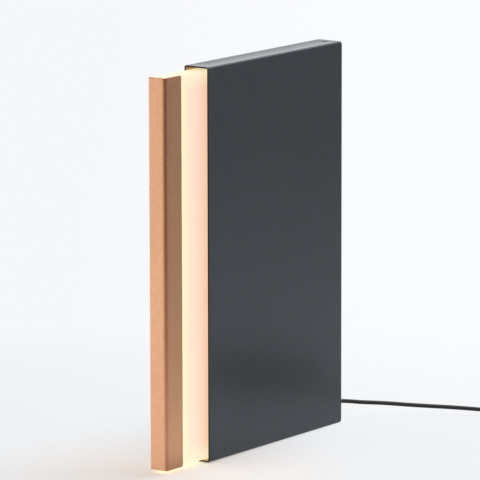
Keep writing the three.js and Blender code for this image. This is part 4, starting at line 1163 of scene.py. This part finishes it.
innerCord = leadCurve("innerCord", leadForm["inner"], leadForm["innerRadius"])
dress(innerCord, "sleeve", "cord_jacket")
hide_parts("inner_cord")
stripLead = leadCurve("stripLead", leadForm["strip"], leadForm["thinRadius"])
dress(stripLead, "book", "white_plastic")
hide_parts("strip_lead")
slackLead = leadCurve("slackLead", leadForm["slack"], leadForm["thinRadius"])
selectOnly(slackLead)
bpy.ops.object.convert(target="MESH")
slackLead = bpy.context.object
smoothOff(slackLead, degrees=60)
dress(slackLead, None, "white_plastic")
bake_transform(slackLead)
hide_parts("led_lead")
print("leads made")


# Carried-over CAD nodes, by what their names begin with
nodeFinish = {
    "rubber": ("base_pad", "stop_ring"),
    "aluminium": ("chassis", "spacer", "led_bar"),
    "steel": ("guide_rod", "stay_rod", "board_screw", "arm_screw"),
    "black_steel": ("rod_clip",),
    "white_plastic": ("cord_connector", "lead_socket", "switch_plunger", "carriage_plate"),
    "black_plastic": ("capacitor", "switch_body", "cord_clamp", "slide_arm"),
    "bronze": ("bushing",),
    "board": ("circuit_board",),
    "led": ("led_strip",),
}
for slotName, starts in nodeFinish.items():
    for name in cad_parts:
        if name.startswith(starts):
            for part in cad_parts[name].material_slots:
                part.material = materials[slotName]


# Floor and backdrop
stageLook = {
    "reach": 6,
    "paper": (0.86, 0.865, 0.875),
    "rightPaper": (0.3, 0.31, 0.32),  # it gives less light back beyond the right edge of the table
    "beside": (0.17, 0.42),  # where that begins and ends, metres to the right of the lamp
    "front": (0.87, 0.877, 0.893),
    "back": (0.965, 0.972, 1.0),
    "turn": (-0.25, 0.4),  # metres along the camera's view, between front and back; the darker front is painted shade
    "glow": (1.0, 0.79, 0.62),  # its white by the foot of the block: a painted pool of the lamp's warm light
    "glowAt": 0.09,  # towards the front
    "glowReach": 0.12,
    "left": 0.042,  # painted shade: how much darker the left side is
    "leftTurn": (-0.15, 0.15),
    "farSide": 0.46,  # painted shade: how much darker the paper ends, far out on the right
    "farTurn": (0.3, 1.1),
    "ownWhite": (0.3, 1.0),  # how much of what is seen of the paper is its own white, near and far
    "rightWhiteOverShadow": 0.25,  # how much more of it on the right: painted light over the sleeve's shadow there
    "rightTurn": (0, 0.06),
    "round": (0.45, 1.1),  # how far off it turns to its own white on every side
    "sky": {"Color": (0.96, 0.98, 1), "Strength": 0.2},
}
viewAhead = (-0.579, 0.796)
viewRight = (0.806, 0.592)


def makeFloor(look):
    deselectAll()
    bpy.ops.mesh.primitive_grid_add(x_subdivisions=8, y_subdivisions=8, size=2 * look["reach"])
    floor = bpy.context.object
    floor.name = "floor"
    finish = Finish("floorPaper", look["paper"], **{"Roughness": 0.9, "Specular IOR Level": 0.1})
    x, y = finish.axes()[:2]
    # the paper's own white carries painted shading: darker at the front, at the left and far out on the
    # right
    ahead = (x * viewAhead[0] + y * viewAhead[1]).rising(*look["turn"])
    side = x * viewRight[0] + y * viewRight[1]
    tone = 1 - look["left"] * (1 - side.rising(*look["leftTurn"]))
    tone = tone * (1 - look["farSide"] * side.rising(*look["farTurn"]))
    # painted pool of the lamp's warm light round the foot of the block
    forward = y + look["glowAt"]
    beyond = (x * x + forward * forward).reckon("SQRT").rising(0, look["glowReach"])
    paintedShadeAndGlow = finish.mix(ahead, finish.mix(beyond, look["glow"], look["front"]), look["back"])
    white = finish.add("Emission", {}, {"Color": paintedShadeAndGlow, "Strength": tone})
    beside = side.rising(*look["beside"])
    finish.set(base=finish.mix(beside, look["paper"], look["rightPaper"]))
    away = (x * x + y * y).reckon("SQRT").rising(*look["round"])
    least, most = look["ownWhite"]
    own = least + (most - least) * ahead.reckon("MAXIMUM", beside).reckon("MAXIMUM", away)
    # painted light: more own white on the right, over the sleeve's shadow
    own = own + look["rightWhiteOverShadow"] * side.rising(*look["rightTurn"])
    paper = Wire(finish.tree, finish.shader.outputs[0])
    mixed = finish.add("MixShader", {}, {0: finish.seenShare() * own.clamped(), 1: paper, 2: white})
    finish.feed(finish.find("OUTPUT_MATERIAL"), {"Surface": mixed})
    floor.data.materials.append(finish.material)


def makeSky(look):
    scene.world = scene.world or bpy.data.worlds.new("world")
    scene.world.use_nodes = True
    nodes = Nodes(scene.world.node_tree)
    nodes.tree.nodes.clear()
    light = nodes.add("Background", {}, look["sky"])
    shown = nodes.add("Background", {}, {"Color": look["back"], "Strength": 1})
    sky = nodes.add("MixShader", {}, {0: nodes.seenShare(), 1: light, 2: shown})
    nodes.add("OutputWorld", {}, {"Surface": sky})


# Lamps, place and aim in metres and power in watts
lamps = {
    "keyLamp": {"place": (-1.2, -2.3, 0.7), "size": (1.8, 1.4), "power": 60, "colour": (1, 0.99, 0.97)},
    "poolLamp": {"place": (0.09, 0.17, 0.95), "size": (0.4, 0.4), "power": 6, "colour": (0.98, 0.99, 1)},
    "lowBackLamp": {"place": (-1.45, 1.98, 0.42), "size": (1.5, 0.4), "power": 2.4,
                    "colour": (0.95, 0.98, 1)},
    "rimLamp": {"place": (-0.1, 1.7, 1.3), "size": (0.9, 0.7), "power": 4, "colour": (0.95, 0.98, 1)},
    "footLamp": {"place": (0.065, -0.15, 0.003), "aim": (0.065, -0.15, 1), "size": (0.09, 0.2),
                 "power": 0.062, "colour": (1, 0.96, 0.9)},
}
lampAim = (0, 0, 0.12)


def addLamps(setup):
    for name, values in setup.items():
        data = bpy.data.lights.new(name, "AREA")
        data.shape = "RECTANGLE"
        data.size, data.size_y = values["size"]
        data.energy = values["power"]
        data.color = values["colour"]
        lamp = bpy.data.objects.new(name, data)
        scene.collection.objects.link(lamp)
        aim = Vector(values.get("aim", lampAim)) - Vector(values["place"])
        lamp.location = values["place"]
        lamp.rotation_euler = aim.to_track_quat("-Z", "Y").to_euler()
        lamp.visible_camera = False


makeFloor(stageLook)
makeSky(stageLook)
addLamps(lamps)
print("stage made")

bpy.context.view_layer.update()
